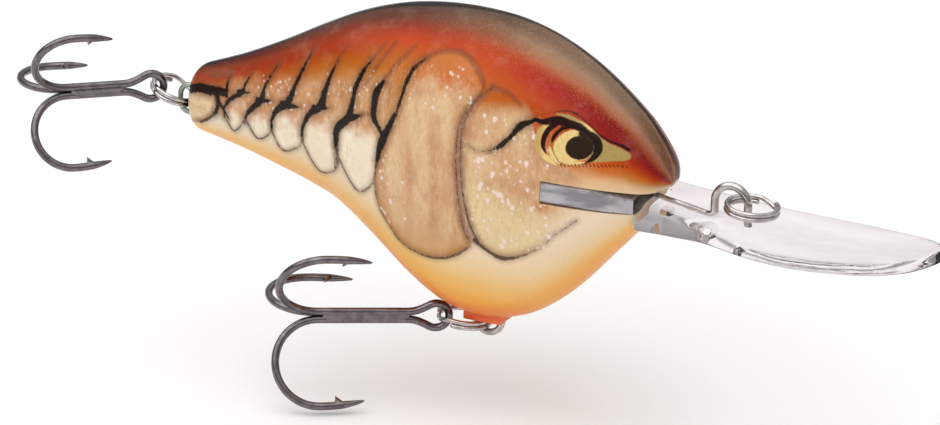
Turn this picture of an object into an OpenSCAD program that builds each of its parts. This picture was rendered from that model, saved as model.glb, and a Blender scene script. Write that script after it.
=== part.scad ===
// Deep-diving crankbait. +X runs to the nose and the diving lip, +Z is up, and the
// origin is the centre of the line-tie loop. All sizes are in millimetres.

/* [Body] */
// Half-width of the body at its fattest point
body_half_w = 8.7; // [7.5:0.1:9.5]
// Roundness of the body's cross-section, where 2 is an ellipse
body_round = 2.2; // [2:0.05:2.5]
// Number of cross-sections along the body
body_stations = 52; // [36:2:64]
// Number of points round half of a cross-section
body_points = 20; // [12:2:28]

/* [Diving lip] */
// Half-width of the lip at its widest point
lip_half_w = 7.8; // [6.5:0.1:9]
// Clearance between the lip's tongue and its slot
slot_gap = 0.04; // [0.02:0.01:0.1]

/* [Wire] */
// Diameter of the line-tie wire
tie_wire_d = 0.95; // [0.8:0.05:1]
// Diameter of the belly hanger's wire
hanger_wire_d = 0.8; // [0.6:0.05:0.8]
// Diameter of the tail hanger's wire
tail_wire_d = 0.62; // [0.5:0.02:0.62]
// Diameter of the wire of the hooks
hook_wire_d = 0.92; // [0.8:0.02:0.96]

/* [Split rings] */
// Outer diameter of the line-tie ring
tie_ring_d = 6.4; // [6:0.1:6.6]
// Outer diameter of the belly ring
belly_ring_d = 6.5; // [6.2:0.1:6.8]
// Outer diameter of the tail ring
tail_ring_d = 5.8; // [5.6:0.1:6]
// Diameter of the split rings' wire
ring_wire_d = 0.56; // [0.5:0.02:0.56]

/* [Hooks] */
// Overall length of the belly hook
belly_hook_len = 20.8; // [20:0.1:22]
// Reach of the belly hook from its axis to the outside of its bend
belly_hook_reach = 10.9; // [10:0.1:11.5]
// Overall length of the tail hook
tail_hook_len = 16.4; // [16:0.1:18]
// Reach of the tail hook from its axis to the outside of its bend
tail_hook_reach = 9.4; // [9:0.1:9.8]

/* [Rattle] */
// Diameter of the rattle balls
ball_d = 3.2; // [2.6:0.1:3.3]
// Outer diameter of the rattle tube
tube_d = 4.8; // [4.6:0.1:5]

/* [Hidden] */
$fn = 48;

// Outlines as [x, value]; the curve through them is smooth
tail_x = -67.1;
nose_x = -7.2;
back_line = [[-67.1, 4.5], [-61, 7], [-56, 9.5], [-51, 12.3], [-46.4, 14.6], [-41.5, 16.3],
             [-36.5, 17.2], [-31.6, 17.4], [-26.6, 16.9], [-21.6, 15.3], [-16.6, 12.5],
             [-11.5, 8.3], [-9.6, 6], [-8.3, 4], [-7.5, 2.4], [-7.2, 1.3]];
belly_line = [[-67.1, -2.6], [-60.7, -3.9], [-55.7, -5.2], [-50.7, -6.7], [-47.5, -8],
              [-43.1, -11.1], [-38, -15.2], [-34, -17.6], [-30, -18.5], [-26.5, -18.2],
              [-22.5, -16.6], [-18.3, -13.3], [-13.6, -8.1], [-11, -5.2], [-9.4, -3.4],
              [-8.2, -1.4], [-7.5, 0], [-7.2, 0.8]];
width_line = [[-67.1, 2.9], [-62, 3.6], [-56, 4.6], [-50, 5.8], [-44, 7], [-38, 8],
              [-32, 8.55], [-26.5, 8.7], [-21.5, 8.4], [-17, 7.6], [-13, 6.55],
              [-9.8, 5.3], [-8.6, 4.5], [-7.8, 3.3], [-7.4, 1.9], [-7.2, 0.7]];
tail_edge_r = 1.7;

// The lip's upper face, under face and plan, as [x, value]
lip_back_x = -19.8;
jaw_x = -9.7;
lip_tip_x = 25.5;
lip_top_line = [[-19.8, 1.5], [-14, 1.15], [-9.6, 0.1], [-4, -0.75], [0, -1.35], [4.3, -1.9],
                [9, -2.1], [13.7, -2.05], [19.4, -1.8], [23.3, -1.35], [25.5, -0.9]];
lip_heel_line = [[-9.62, -3.8], [-4, -3.4], [-0.5, -3.15], [5, -3.55], [10, -3.75],
                 [15, -3.65], [20, -3.35], [23.5, -2.9], [25.5, -2.3]];
lip_plan = [[-9.62, 4.9], [-6, 5.45], [-1.3, 6.45], [4.3, 7.5], [9, 7.8], [13.7, 7.5],
            [19.4, 6.35], [22.3, 4.95], [24.2, 3.3], [25.2, 1.7], [25.5, 0.6]];
lip_dish = 0.35;
lip_dish_half_w = 5.2;
slot_top_rise = [1.6, 0.98];
slot_floor_rise = [-1.1, -1.74];
slot_front_x = 2;
slot_low_z = -12;
tongue_inset = 0.08;
wire_clearance = 0.02;

// Line tie
tie_r = 2.03;
tie_bend_r = 1;
tie_bend_drop = -1.2;
tie_bend_angle = 100;
tie_tail_len = 12.8;
tie_front_leg = 2.75;

// Belly hanger, its pad and the ballast
hanger_x = -29.38;
hanger_r = 1.67;
hanger_z = -19.12;
hanger_leg_top = -12.5;
pad_z = -19;
pad_size = [4.6, 3.8];
ballast_profile = [[0, -16.6], [3.2, -16.6], [4.8, -13.5], [4.8, -6], [3.6, -4.8], [0, -4.8]];
foot_top = -15.5;

// Tail hanger
tail_loop_x = -67.67;
tail_loop_z = 0.4;
tail_loop_r = 1.25;
tail_loop_straight = 0.8;
tail_leg_end = -58.5;

// Rings: pivot point, tilt of the ring's plane, turn in that plane and place of the gap
coil_rise = ring_wire_d + 0.02;
tie_tilt = 4;
tie_ring_c = [2.55, 0, -0.12];
belly_pivot = [hanger_x, 0, -19.7];
belly_tilt = 5;
tail_pivot = [-68, 0, -0.15];
tail_tilt = 20;
tail_turn = 25;
tie_gap_at = 75;
belly_gap_at = 60;
tail_gap_at = -80;

// Hook axes
belly_hook_dir = [-0.837, -0.547, 0.021];
belly_hook_up = [0.229, -0.386, -0.894];
tail_hook_dir = [-0.765, -0.644, -0.008];
tail_hook_up = [0.283, -0.428, -0.857];
eye_r = 1.5;
eye_grip = 0.42;
eye_neck = [[1.35, 0.98], [2, 0.7], [2.6, 0.53]];
eye_neck_len = 3.3;
single_hook_start = 3.4;
wire_sides = 10;

// Rattle
rattle_x = [-46, -36];
rattle_z = 4;
tube_wall = 0.5;
plug_len = 1;
plug_gap = 0.04;
ball_gap = 0.02;
pocket_gap = 0.04;

function unit(v) = v / norm(v);
function mix(a, b, t) = a + (b - a) * t;

// Value of the smooth curve through the points p at x
function slope_at(p, i) =
    let(a = max(i - 1, 0), b = min(i + 1, len(p) - 1))
    (p[b][1] - p[a][1]) / (p[b][0] - p[a][0]);
function piece_of(p, x) =
    let(k = [for (i = [0 : len(p) - 2]) if (x >= p[i][0]) i])
    len(k) == 0 ? 0 : k[len(k) - 1];
function along(p, x) =
    let(i = piece_of(p, x),
        h = p[i + 1][0] - p[i][0],
        t = min(max((x - p[i][0]) / h, 0), 1))
    (2 * pow(t, 3) - 3 * pow(t, 2) + 1) * p[i][1]
    + (pow(t, 3) - 2 * pow(t, 2) + t) * h * slope_at(p, i)
    + (3 * pow(t, 2) - 2 * pow(t, 3)) * p[i + 1][1]
    + (pow(t, 3) - pow(t, 2)) * h * slope_at(p, i + 1);

// Body: half-height, mid-height and half-width at x, with the tail's edge rounded
function tail_cut(x) =
    let(d = tail_edge_r - (x - tail_x))
    d <= 0 ? 0 : tail_edge_r - sqrt(max(pow(tail_edge_r, 2) - d * d, 0));
function body_mid(x) = (along(back_line, x) + along(belly_line, x)) / 2;
function body_half_h(x) = (along(back_line, x) - along(belly_line, x)) / 2 - tail_cut(x);
function body_half_y(x) = along(width_line, x) * body_half_w / 8.7 - tail_cut(x);
function flank_y(x, z) =
    let(t = min(abs(z - body_mid(x)) / body_half_h(x), 1))
    body_half_y(x) * pow(1 - pow(t, body_round), 1 / body_round);

// Stations close up towards both ends of the body
function station_x(i, n, a, b) = mix(a, b, (1 - cos(180 * i / (n - 1))) / 2);
function half_ring(x, side) =
    [for (j = [0 : body_points - 1])
        let(a = 180 * j / (body_points - 1),
            s = j == 0 || j == body_points - 1 ? 0 : sin(a),
            c = cos(a))
        [x, side * body_half_y(x) * pow(s, 2 / body_round),
         body_mid(x) + body_half_h(x) * sign(c) * pow(abs(c), 2 / body_round)]];

// Faces of a skin of n rings of m points, closed with flat ends
function flip(f, on) = on ? [for (i = [len(f) - 1 : -1 : 0]) f[i]] : f;
function skin_faces(n, m, turned) = concat(
    [for (i = [0 : n - 2], j = [0 : m - 1])
        let(k = (j + 1) % m)
        flip([i * m + j, i * m + k, (i + 1) * m + k], turned)],
    [for (i = [0 : n - 2], j = [0 : m - 1])
        let(k = (j + 1) % m)
        flip([i * m + j, (i + 1) * m + k, (i + 1) * m + j], turned)],
    [flip([for (j = [m - 1 : -1 : 0]) j], turned)],
    [flip([for (j = [0 : m - 1]) (n - 1) * m + j], turned)]);

module skin(rings, turned = false) {
    polyhedron(points = [for (r = rings) each r],
               faces = skin_faces(len(rings), len(rings[0]), turned));
}

module half_body(side) {
    skin([for (i = [0 : body_stations - 1])
            half_ring(station_x(i, body_stations, tail_x, nose_x), side)],
         side < 0);
}

// Sweeps a round wire of radius r along the path; fins add a barb on one side
function tangents(p) =
    [for (i = [0 : len(p) - 1]) unit(p[min(i + 1, len(p) - 1)] - p[max(i - 1, 0)])];
function square_to(n, t) = unit(n - (n * t) * t);
function carried(t, n0) =
    [for (i = 0, n = square_to(n0, t[0]); i < len(t);
          i = i + 1, n = i < len(t) ? square_to(n, t[i]) : n) n];
function wire_ring(p, t, n, r, fin, way, sides) =
    let(b = cross(t, n))
    [for (j = [0 : sides - 1])
        let(v = cos(360 * j / sides) * n + sin(360 * j / sides) * b,
            lean = max(v * way, 0))
        p + v * (r + fin * pow(lean, 6))];
function wire_rings(path, r, side_way, fins = [], sides = wire_sides) =
    let(t = tangents(path), n = carried(t, side_way[0]))
    [for (i = [0 : len(path) - 1])
        wire_ring(path[i], t[i], n[i], is_list(r) ? r[i] : r,
                  len(fins) == 0 ? 0 : fins[i], side_way[min(i, len(side_way) - 1)], sides)];

module wire(path, r, side_way, fins = [], sides = wire_sides) {
    skin(wire_rings(path, r, side_way, fins, sides), true);
}

// Split ring in its own plane: two coils with a cross-over opposite the gap
function coil_z(a) = coil_rise * (min(max((a - 340) / 40, 0), 1) - 0.5);
function coil_path(d) =
    let(r = (d - ring_wire_d) / 2)
    [for (i = [0 : 50])
        let(a = mix(23, 697, i / 50))
        [r * cos(a), r * sin(a), coil_z(a)]];

module split_ring(centre, x_way, up_way, d, gap_at) {
    y_way = cross(up_way, x_way);
    spun = [for (p = coil_path(d))
        [p[0] * cos(gap_at) - p[1] * sin(gap_at), p[0] * sin(gap_at) + p[1] * cos(gap_at), p[2]]];
    wire([for (p = spun) centre + p[0] * x_way + p[1] * y_way + p[2] * up_way],
         ring_wire_d / 2, [up_way], [], 8);
}

// One hook of a treble: from the shank round the bend to the point.
// rho is the distance from the treble's axis and s the distance behind the eye
hook_shank_rho = (hook_wire_d + 0.04) / sqrt(3);
function hook_bend_r(reach) = (reach - hook_shank_rho - hook_wire_d / 2) / 2;
hook_steps = 20;
spear_steps = [0.12, 0.24, 0.34, 0.37, 0.4, 0.52, 0.7, 0.85, 1];
barb_size = [0, 0, 0, 0, 0.75, 0.32, 0, 0, 0];
function hook_profile(len_all, reach) =
    let(br = hook_bend_r(reach),
        bend_s = len_all - (eye_r + hook_wire_d / 2) - hook_wire_d / 2 - br,
        spear = br * 1.04)
    concat(
        [for (i = [0 : hook_steps])
            let(a = 180 * i / hook_steps)
            [hook_shank_rho + br - br * cos(a), bend_s + br * sin(a)]],
        [for (q = spear_steps) [hook_shank_rho + 2 * br - 0.12 * spear * q * q, bend_s - spear * q]]);
function hook_radii() = concat(
    [for (i = [0 : hook_steps]) hook_wire_d / 2],
    [for (q = spear_steps) hook_wire_d / 2 * (q < 0.5 ? 1 : sqrt(max(1.02 - q, 0) / 0.52))]);
function hook_fins() = concat([for (i = [0 : hook_steps]) 0], barb_size);

function spoke(dir, up, a) = cos(a) * up + sin(a) * cross(dir, up);
function hook_points(eye, dir, up, a, len_all, reach) =
    [for (p = hook_profile(len_all, reach)) eye + p[0] * spoke(dir, up, a) + p[1] * dir];

// The eye and the two shank wires that leave it side by side
shank_half = (hook_wire_d + 0.04) / 2;
function eye_half(sgn) = concat(
    [for (a = [0 : 15 : 120]) [-eye_r * cos(a), sgn * eye_r * sin(a)]],
    [for (p = eye_neck) [p[0], sgn * p[1]]],
    [[eye_neck_len, sgn * shank_half]]);
function reversed(p) = [for (i = [len(p) - 1 : -1 : 0]) p[i]];
function double_hook_path(eye, dir, up, len_all, reach) =
    let(across = unit(spoke(dir, up, 0) - spoke(dir, up, 120)),
        plane = eye + hook_shank_rho / 2 * (spoke(dir, up, 0) + spoke(dir, up, 120)),
        loop = concat(reversed(eye_half(1)), [for (i = [1 : len(eye_half(-1)) - 1]) eye_half(-1)[i]]),
        first = hook_points(eye, dir, up, 0, len_all, reach),
        last = hook_points(eye, dir, up, 120, len_all, reach))
    concat(reversed(first), [for (q = loop) plane + q[0] * dir + q[1] * across], last);

module double_hook(eye, dir, up, len_all, reach) {
    arm_n = len(hook_radii());
    loop_n = 2 * len(eye_half(1)) - 1;
    path = double_hook_path(eye, dir, up, len_all, reach);
    radii = concat(reversed(hook_radii()), [for (i = [1 : loop_n]) hook_wire_d / 2], hook_radii());
    fins = concat(reversed(hook_fins()), [for (i = [1 : loop_n]) 0], hook_fins());
    ways = concat([for (i = [1 : arm_n + loop_n]) -spoke(dir, up, 0)],
                  [for (i = [1 : arm_n]) -spoke(dir, up, 120)]);
    wire(path, radii, ways, fins);
}

module single_hook(eye, dir, up, len_all, reach) {
    start = eye + hook_shank_rho * spoke(dir, up, 240) + single_hook_start * dir;
    path = concat([start], hook_points(eye, dir, up, 240, len_all, reach));
    radii = concat([hook_wire_d / 2], hook_radii());
    fins = concat([0], hook_fins());
    wire(path, radii, [-spoke(dir, up, 240)], fins);
}

// Ring centres and hook eyes
function ring_r(d) = (d - ring_wire_d) / 2;
function tilted(a) = [-cos(a), 0, sin(a)];
function tilted_up(a) = [sin(a), 0, cos(a)];
belly_ring_c = belly_pivot + ring_r(belly_ring_d) * tilted(belly_tilt);
tail_ring_c = tail_pivot
    + ring_r(tail_ring_d) * (cos(tail_turn) * tilted(tail_tilt) + sin(tail_turn) * [0, 1, 0]);
function eye_way(dir, tilt) = unit(dir - (dir * tilted_up(tilt)) * tilted_up(tilt));
belly_eye = belly_ring_c + (ring_r(belly_ring_d) + eye_grip) * eye_way(unit(belly_hook_dir), belly_tilt);
tail_eye = tail_ring_c + (ring_r(tail_ring_d) + eye_grip) * eye_way(unit(tail_hook_dir), tail_tilt);
belly_up = square_to(belly_hook_up, unit(belly_hook_dir));
tail_up = square_to(tail_hook_up, unit(tail_hook_dir));

// Round bar from a to b
module bar(a, b, r) {
    v = b - a;
    translate(a)
        rotate([0, acos(v[2] / norm(v)), atan2(v[1], v[0])])
            cylinder(h = norm(v), r = r);
}

// Arc of round bar in the XZ plane, from angle a, over turn degrees, with a straight
// run of length run off its first end
module arc_bar(centre, bend_r, a, turn, r, run = 0) {
    translate(centre)
        rotate([90, 0, 0])
            rotate([0, 0, a]) {
                rotate_extrude(angle = turn)
                    translate([bend_r, 0])
                        circle(r = r, $fn = 32);
                if (run > 0)
                    translate([bend_r, 0, 0])
                        rotate([90, 0, 0])
                            cylinder(h = run, r = r);
            }
}

module tie_shape(r) {
    bend_c = [-tie_r - tie_bend_r, 0, tie_bend_drop];
    arc_bar([0, 0, 0], tie_r, 0, 180, r);
    bar([tie_r, 0, -tie_front_leg], [tie_r, 0, 0], r);
    bar([-tie_r, 0, tie_bend_drop], [-tie_r, 0, 0], r);
    arc_bar(bend_c, tie_bend_r, -tie_bend_angle, tie_bend_angle, r, tie_tail_len);
}

module hanger_shape(r) {
    arc_bar([hanger_x, 0, hanger_z], hanger_r, 180, 180, r);
    for (s = [-1, 1])
        bar([hanger_x + s * hanger_r, 0, hanger_z], [hanger_x + s * hanger_r, 0, hanger_leg_top], r);
}

module tail_hanger_shape(r) {
    for (s = [-1, 1]) {
        z = tail_loop_z + s * (tail_loop_straight / 2 + tail_loop_r);
        bar([tail_loop_x, 0, z], [tail_leg_end, 0, z], r);
        arc_bar([tail_loop_x, 0, tail_loop_z + s * tail_loop_straight / 2], tail_loop_r,
                s > 0 ? 90 : 180, 90, r);
    }
    bar([tail_loop_x - tail_loop_r, 0, tail_loop_z - tail_loop_straight / 2],
        [tail_loop_x - tail_loop_r, 0, tail_loop_z + tail_loop_straight / 2], r);
}

module ballast_shape(grow) {
    low = ballast_profile[0][1];
    high = ballast_profile[5][1];
    translate([hanger_x, 0, 0])
        rotate_extrude()
            polygon([for (p = ballast_profile)
                [p[0] == 0 ? 0 : p[0] + grow, p[1] + (p[1] == low ? -grow : p[1] == high ? grow : 0)]]);
    translate([hanger_x - pad_size[0] / 2 - grow, -pad_size[1] / 2 - grow, pad_z])
        cube([pad_size[0] + 2 * grow, pad_size[1] + 2 * grow, foot_top - pad_z]);
}

// The lip's slot through the head, with the room in front of the lower jaw
module slot_cut() {
    slope_t = (slot_top_rise[1] - slot_top_rise[0]) / (jaw_x - lip_back_x);
    rotate([90, 0, 0])
        linear_extrude(height = 30, center = true)
            polygon([[lip_back_x - slot_gap, slot_floor_rise[0]],
                     [jaw_x, slot_floor_rise[1]], [jaw_x, slot_low_z], [slot_front_x, slot_low_z],
                     [slot_front_x, slot_top_rise[1] + slope_t * (slot_front_x - jaw_x)],
                     [lip_back_x - slot_gap, slot_top_rise[0]]]);
}

module body_half(side) {
    difference() {
        half_body(side);
        slot_cut();
        ballast_shape(pocket_gap);
        hanger_shape(hanger_wire_d / 2 + pocket_gap);
        tail_hanger_shape(tail_wire_d / 2 + pocket_gap);
        translate([rattle_x[0] - pocket_gap, 0, rattle_z])
            rotate([0, 90, 0])
                cylinder(h = rattle_x[1] - rattle_x[0] + 2 * pocket_gap, d = tube_d + 2 * pocket_gap);
    }
}

module body_right_half() {
    color("darkorange") body_half(-1);
}

module body_left_half() {
    color("orange") body_half(1);
}

// Cross-section of the lip: flat-sided tongue, then a round-edged dished paddle
lip_points = 32;
function lip_ring(x, half_w, top, under, edge, dish) =
    [for (j = [0 : lip_points - 1])
        let(a = 360 * j / lip_points,
            y = half_w * sign(cos(a)) * pow(abs(cos(a)), 2 / edge),
            f = sign(sin(a)) * pow(abs(sin(a)), 2 / edge),
            d = f > 0 ? dish * pow(max(1 - pow(y / lip_dish_half_w, 2), 0), 2) * f : 0)
        [x, y, (top + under) / 2 + f * (top - under) / 2 - d]];
function tongue_ring(x) =
    let(t = (x - lip_back_x) / (jaw_x - lip_back_x),
        under = mix(slot_floor_rise[0], slot_floor_rise[1], t) + slot_gap,
        top = min(along(lip_top_line, x), mix(slot_top_rise[0], slot_top_rise[1], t) - slot_gap))
    lip_ring(x, flank_y(x, (top + under) / 2) - tongue_inset, top, under, 12, 0);
function paddle_ring(x) =
    let(fade = min(max((x - 1) / 5, 0), 1) * min(max((24 - x) / 6, 0), 1))
    lip_ring(x, along(lip_plan, x) * lip_half_w / 7.8, along(lip_top_line, x),
             along(lip_heel_line, x), mix(7, 4, min(max((x - jaw_x) / 12, 0), 1)), lip_dish * fade);

module diving_lip() {
    tongue = [for (i = [0 : 9]) tongue_ring(mix(lip_back_x, jaw_x - 0.1, i / 9))];
    paddle = [for (i = [0 : 27])
        paddle_ring(mix(jaw_x + 0.08, lip_tip_x, i < 14 ? i / 23 : 1 - pow(1 - (i + 4) / 31, 1.35)))];
    color("gainsboro", 0.5)
        difference() {
            skin(concat(tongue, paddle), true);
            tie_shape(tie_wire_d / 2 + wire_clearance);
        }
}

module line_tie_wire() {
    color("silver") tie_shape(tie_wire_d / 2);
}

module line_tie_ring() {
    color("silver")
        split_ring(tie_ring_c, -tilted(tie_tilt), tilted_up(tie_tilt), tie_ring_d, tie_gap_at);
}

module belly_weight() {
    color("dimgray")
        difference() {
            ballast_shape(0);
            hanger_shape(hanger_wire_d / 2 + wire_clearance);
        }
}

module belly_hanger() {
    color("silver") hanger_shape(hanger_wire_d / 2);
}

module belly_ring() {
    color("silver")
        split_ring(belly_ring_c, tilted(belly_tilt), tilted_up(belly_tilt), belly_ring_d,
                   belly_gap_at);
}

module belly_double_hook() {
    color("#4a4446")
        double_hook(belly_eye, unit(belly_hook_dir), belly_up, belly_hook_len, belly_hook_reach);
}

module belly_single_hook() {
    color("#4a4446")
        single_hook(belly_eye, unit(belly_hook_dir), belly_up, belly_hook_len, belly_hook_reach);
}

module tail_hanger() {
    color("#8f9a90") tail_hanger_shape(tail_wire_d / 2);
}

module tail_ring() {
    color("silver")
        split_ring(tail_ring_c, tilted(tail_tilt), tilted_up(tail_tilt), tail_ring_d,
                   tail_gap_at);
}

module tail_double_hook() {
    color("#4a4446")
        double_hook(tail_eye, unit(tail_hook_dir), tail_up, tail_hook_len, tail_hook_reach);
}

module tail_single_hook() {
    color("#4a4446")
        single_hook(tail_eye, unit(tail_hook_dir), tail_up, tail_hook_len, tail_hook_reach);
}

module rattle_tube() {
    color("white")
        translate([rattle_x[0], 0, rattle_z])
            rotate([0, 90, 0])
                difference() {
                    cylinder(h = rattle_x[1] - rattle_x[0], d = tube_d);
                    translate([0, 0, tube_wall])
                        cylinder(h = rattle_x[1] - rattle_x[0], d = tube_d - 2 * tube_wall);
                }
}

module rattle_plug() {
    color("white")
        translate([rattle_x[1] - plug_len, 0, rattle_z])
            rotate([0, 90, 0])
                cylinder(h = plug_len, d = tube_d - 2 * tube_wall - plug_gap);
}

module rattle_balls() {
    mid_x = (rattle_x[0] + tube_wall + rattle_x[1] - plug_len) / 2;
    color("slategray")
        for (s = [-1, 1])
            translate([mid_x + s * (ball_d + ball_gap) / 2, 0, rattle_z])
                sphere(d = ball_d);
}

body_right_half();
body_left_half();
diving_lip();
line_tie_wire();
line_tie_ring();
belly_weight();
belly_hanger();
belly_ring();
belly_double_hook();
belly_single_hook();
tail_hanger();
tail_ring();
tail_double_hook();
tail_single_hook();
rattle_tube();
rattle_plug();
rattle_balls();
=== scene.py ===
"""Looks of the deep-diving crankbait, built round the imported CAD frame.

Lengths are millimetres in the CAD frame (+X to the nose, +Z to the back), with the right flank
towards -Y, until a mesh is made, where MM turns them into metres.
"""
import math

import bpy
import numpy as np
from mathutils import Matrix, Vector


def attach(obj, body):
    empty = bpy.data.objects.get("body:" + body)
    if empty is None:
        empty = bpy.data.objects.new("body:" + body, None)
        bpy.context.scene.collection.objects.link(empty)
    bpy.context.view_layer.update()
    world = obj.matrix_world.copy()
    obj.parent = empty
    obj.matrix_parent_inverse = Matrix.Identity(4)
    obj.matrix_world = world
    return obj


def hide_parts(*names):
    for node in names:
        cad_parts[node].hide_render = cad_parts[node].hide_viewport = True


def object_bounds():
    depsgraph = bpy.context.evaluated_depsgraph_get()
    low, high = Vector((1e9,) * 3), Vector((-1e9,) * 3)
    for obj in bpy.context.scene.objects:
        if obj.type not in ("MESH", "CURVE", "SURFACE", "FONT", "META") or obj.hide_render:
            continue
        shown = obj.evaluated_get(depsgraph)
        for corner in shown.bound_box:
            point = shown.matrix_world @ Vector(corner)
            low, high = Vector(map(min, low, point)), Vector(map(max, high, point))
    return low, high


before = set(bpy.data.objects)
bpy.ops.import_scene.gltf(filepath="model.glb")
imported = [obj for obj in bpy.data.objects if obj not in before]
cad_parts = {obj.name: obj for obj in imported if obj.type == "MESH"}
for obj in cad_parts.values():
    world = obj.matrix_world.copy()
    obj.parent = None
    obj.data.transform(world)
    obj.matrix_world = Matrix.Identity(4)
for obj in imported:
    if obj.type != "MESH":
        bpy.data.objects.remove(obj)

CAD_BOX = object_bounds()
MM = 0.001


# ---------------------------------------------------------------- camera
VIEW_YAW, VIEW_LIFT, VIEW_ROLL = 25.0, 20.0, 1.7
PIXELS_PER_MM = 8.97
FRAME_SIZE = (940, 425)
LENS_MM, SENSOR_MM = 420.0, 36.0
ORIGIN_FROM_CENTRE = (261.5, 9.2)


def view_axes(yaw, lift, roll):
    """Right, up and backward directions of a camera at this azimuth and elevation."""
    y, e, r = (math.radians(v) for v in (yaw, lift, roll))
    right = Vector((math.cos(y), math.sin(y), 0))
    back = Vector((math.sin(y) * math.cos(e), -math.cos(y) * math.cos(e), math.sin(e)))
    up = back.cross(right)
    return (right * math.cos(r) + up * math.sin(r), up * math.cos(r) - right * math.sin(r), back)


def make_camera():
    right, up, back = view_axes(VIEW_YAW, VIEW_LIFT, VIEW_ROLL)
    per_px = MM / PIXELS_PER_MM
    aim = -right * ORIGIN_FROM_CENTRE[0] * per_px - up * ORIGIN_FROM_CENTRE[1] * per_px
    distance = per_px * FRAME_SIZE[0] * LENS_MM / SENSOR_MM
    data = bpy.data.cameras.new("camera")
    data.lens, data.sensor_width = LENS_MM, SENSOR_MM
    data.clip_start, data.clip_end = 0.01, 50.0
    cam = bpy.data.objects.new("camera", data)
    cam.matrix_world = Matrix.Translation(aim + back * distance) @ Matrix(
        (right, up, back)).transposed().to_4x4()
    bpy.context.collection.objects.link(cam)
    bpy.context.scene.camera = cam


# ---------------------------------------------------------------- curves and sweeps
WIRE_STEP = 0.12
BARB_SHARPNESS = 10


def smooth_curve(points, x):
    """Value at x of the smooth curve through the [x, value] points, as in the CAD model."""
    p = np.asarray(points, float)
    x = np.asarray(x, float)
    last = len(p) - 1
    before, after = np.maximum(np.arange(last + 1) - 1, 0), np.minimum(np.arange(last + 1) + 1, last)
    slope = (p[after, 1] - p[before, 1]) / (p[after, 0] - p[before, 0])
    i = np.clip(np.searchsorted(p[:, 0], x, side="right") - 1, 0, last - 1)
    h = p[i + 1, 0] - p[i, 0]
    t = np.clip((x - p[i, 0]) / h, 0, 1)
    return ((2 * t**3 - 3 * t**2 + 1) * p[i, 1] + (t**3 - 2 * t**2 + t) * h * slope[i]
            + (3 * t**2 - 2 * t**3) * p[i + 1, 1] + (t**3 - t**2) * h * slope[i + 1])


def curved(points, closed=False, n=8):
    """The points with a Catmull-Rom curve drawn through them, n steps to a span."""
    p = np.asarray(points, float)
    ext = np.vstack([p[-1:], p, p[:2]] if closed else [2 * p[0] - p[1], p, 2 * p[-1] - p[-2]])
    t = np.linspace(0, 1, n, endpoint=False)[:, None]
    out = [0.5 * (2 * b + (c - a) * t + (2 * a - 5 * b + 4 * c - d) * t**2 + (3 * b - a - 3 * c + d) * t**3)
           for a, b, c, d in zip(ext[:-3], ext[1:-2], ext[2:-1], ext[3:])]
    return np.vstack(out if closed else out + [p[-1:]])


def resampled(path):
    """Points WIRE_STEP apart along the smooth curve through the path."""
    dense = curved(path, n=12)
    run = np.concatenate([[0], np.cumsum(np.linalg.norm(np.diff(dense, axis=0), axis=1))])
    s = np.linspace(0, run[-1], max(int(run[-1] / WIRE_STEP), 4))
    return np.stack([np.interp(s, run, dense[:, k]) for k in range(3)], axis=1)


def unit(v):
    v = np.asarray(v, float)
    return v / np.linalg.norm(v)


def carried_normals(tangent, first):
    n = unit(first - np.dot(first, tangent[0]) * tangent[0])
    out = [n]
    for t in tangent[1:]:
        n = unit(n - np.dot(n, t) * t)
        out.append(n)
    return np.array(out)


def mesh_object(name, verts, faces, smooth=True, sharp_deg=None):
    """A mesh object from millimetre vertices."""
    mesh = bpy.data.meshes.new(name)
    mesh.from_pydata((np.asarray(verts) * MM).tolist(), [], faces)
    mesh.validate()
    mesh.update()
    obj = bpy.data.objects.new(name, mesh)
    bpy.context.collection.objects.link(obj)
    if smooth:
        mesh.shade_smooth()
        if sharp_deg:
            mesh.set_sharp_from_angle(angle=math.radians(sharp_deg))
    return obj


def skin_faces(rings, sides):
    """Quads between closed rings, with a flat n-gon at each end."""
    faces = []
    for i in range(rings - 1):
        for j in range(sides):
            k = (j + 1) % sides
            faces.append((i * sides + j, i * sides + k, (i + 1) * sides + k, (i + 1) * sides + j))
    return faces + [tuple(range(sides - 1, -1, -1)), tuple((rings - 1) * sides + j for j in range(sides))]


def sweep(path, radius, first, sides=20, fin=None, fin_way=None):
    """Vertices and faces of a round wire along the path. A fin raises a barb towards fin_way."""
    path = np.asarray(path, float)
    tangent = np.gradient(path, axis=0)
    tangent /= np.linalg.norm(tangent, axis=1)[:, None]
    n = carried_normals(tangent, np.asarray(first, float))
    b = np.cross(tangent, n)
    radius = np.broadcast_to(radius, len(path))
    angle = np.linspace(0, 2 * np.pi, sides, endpoint=False)
    spoke = np.cos(angle)[None, :, None] * n[:, None] + np.sin(angle)[None, :, None] * b[:, None]
    reach = np.repeat(radius[:, None], sides, axis=1)
    if fin is not None:
        lean = np.clip(np.einsum("ijk,ik->ij", spoke, fin_way), 0, 1)
        reach = reach + fin[:, None] * lean**BARB_SHARPNESS
    verts = path[:, None] + spoke * reach[..., None]
    return verts.reshape(-1, 3), skin_faces(len(path), sides)


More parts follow.
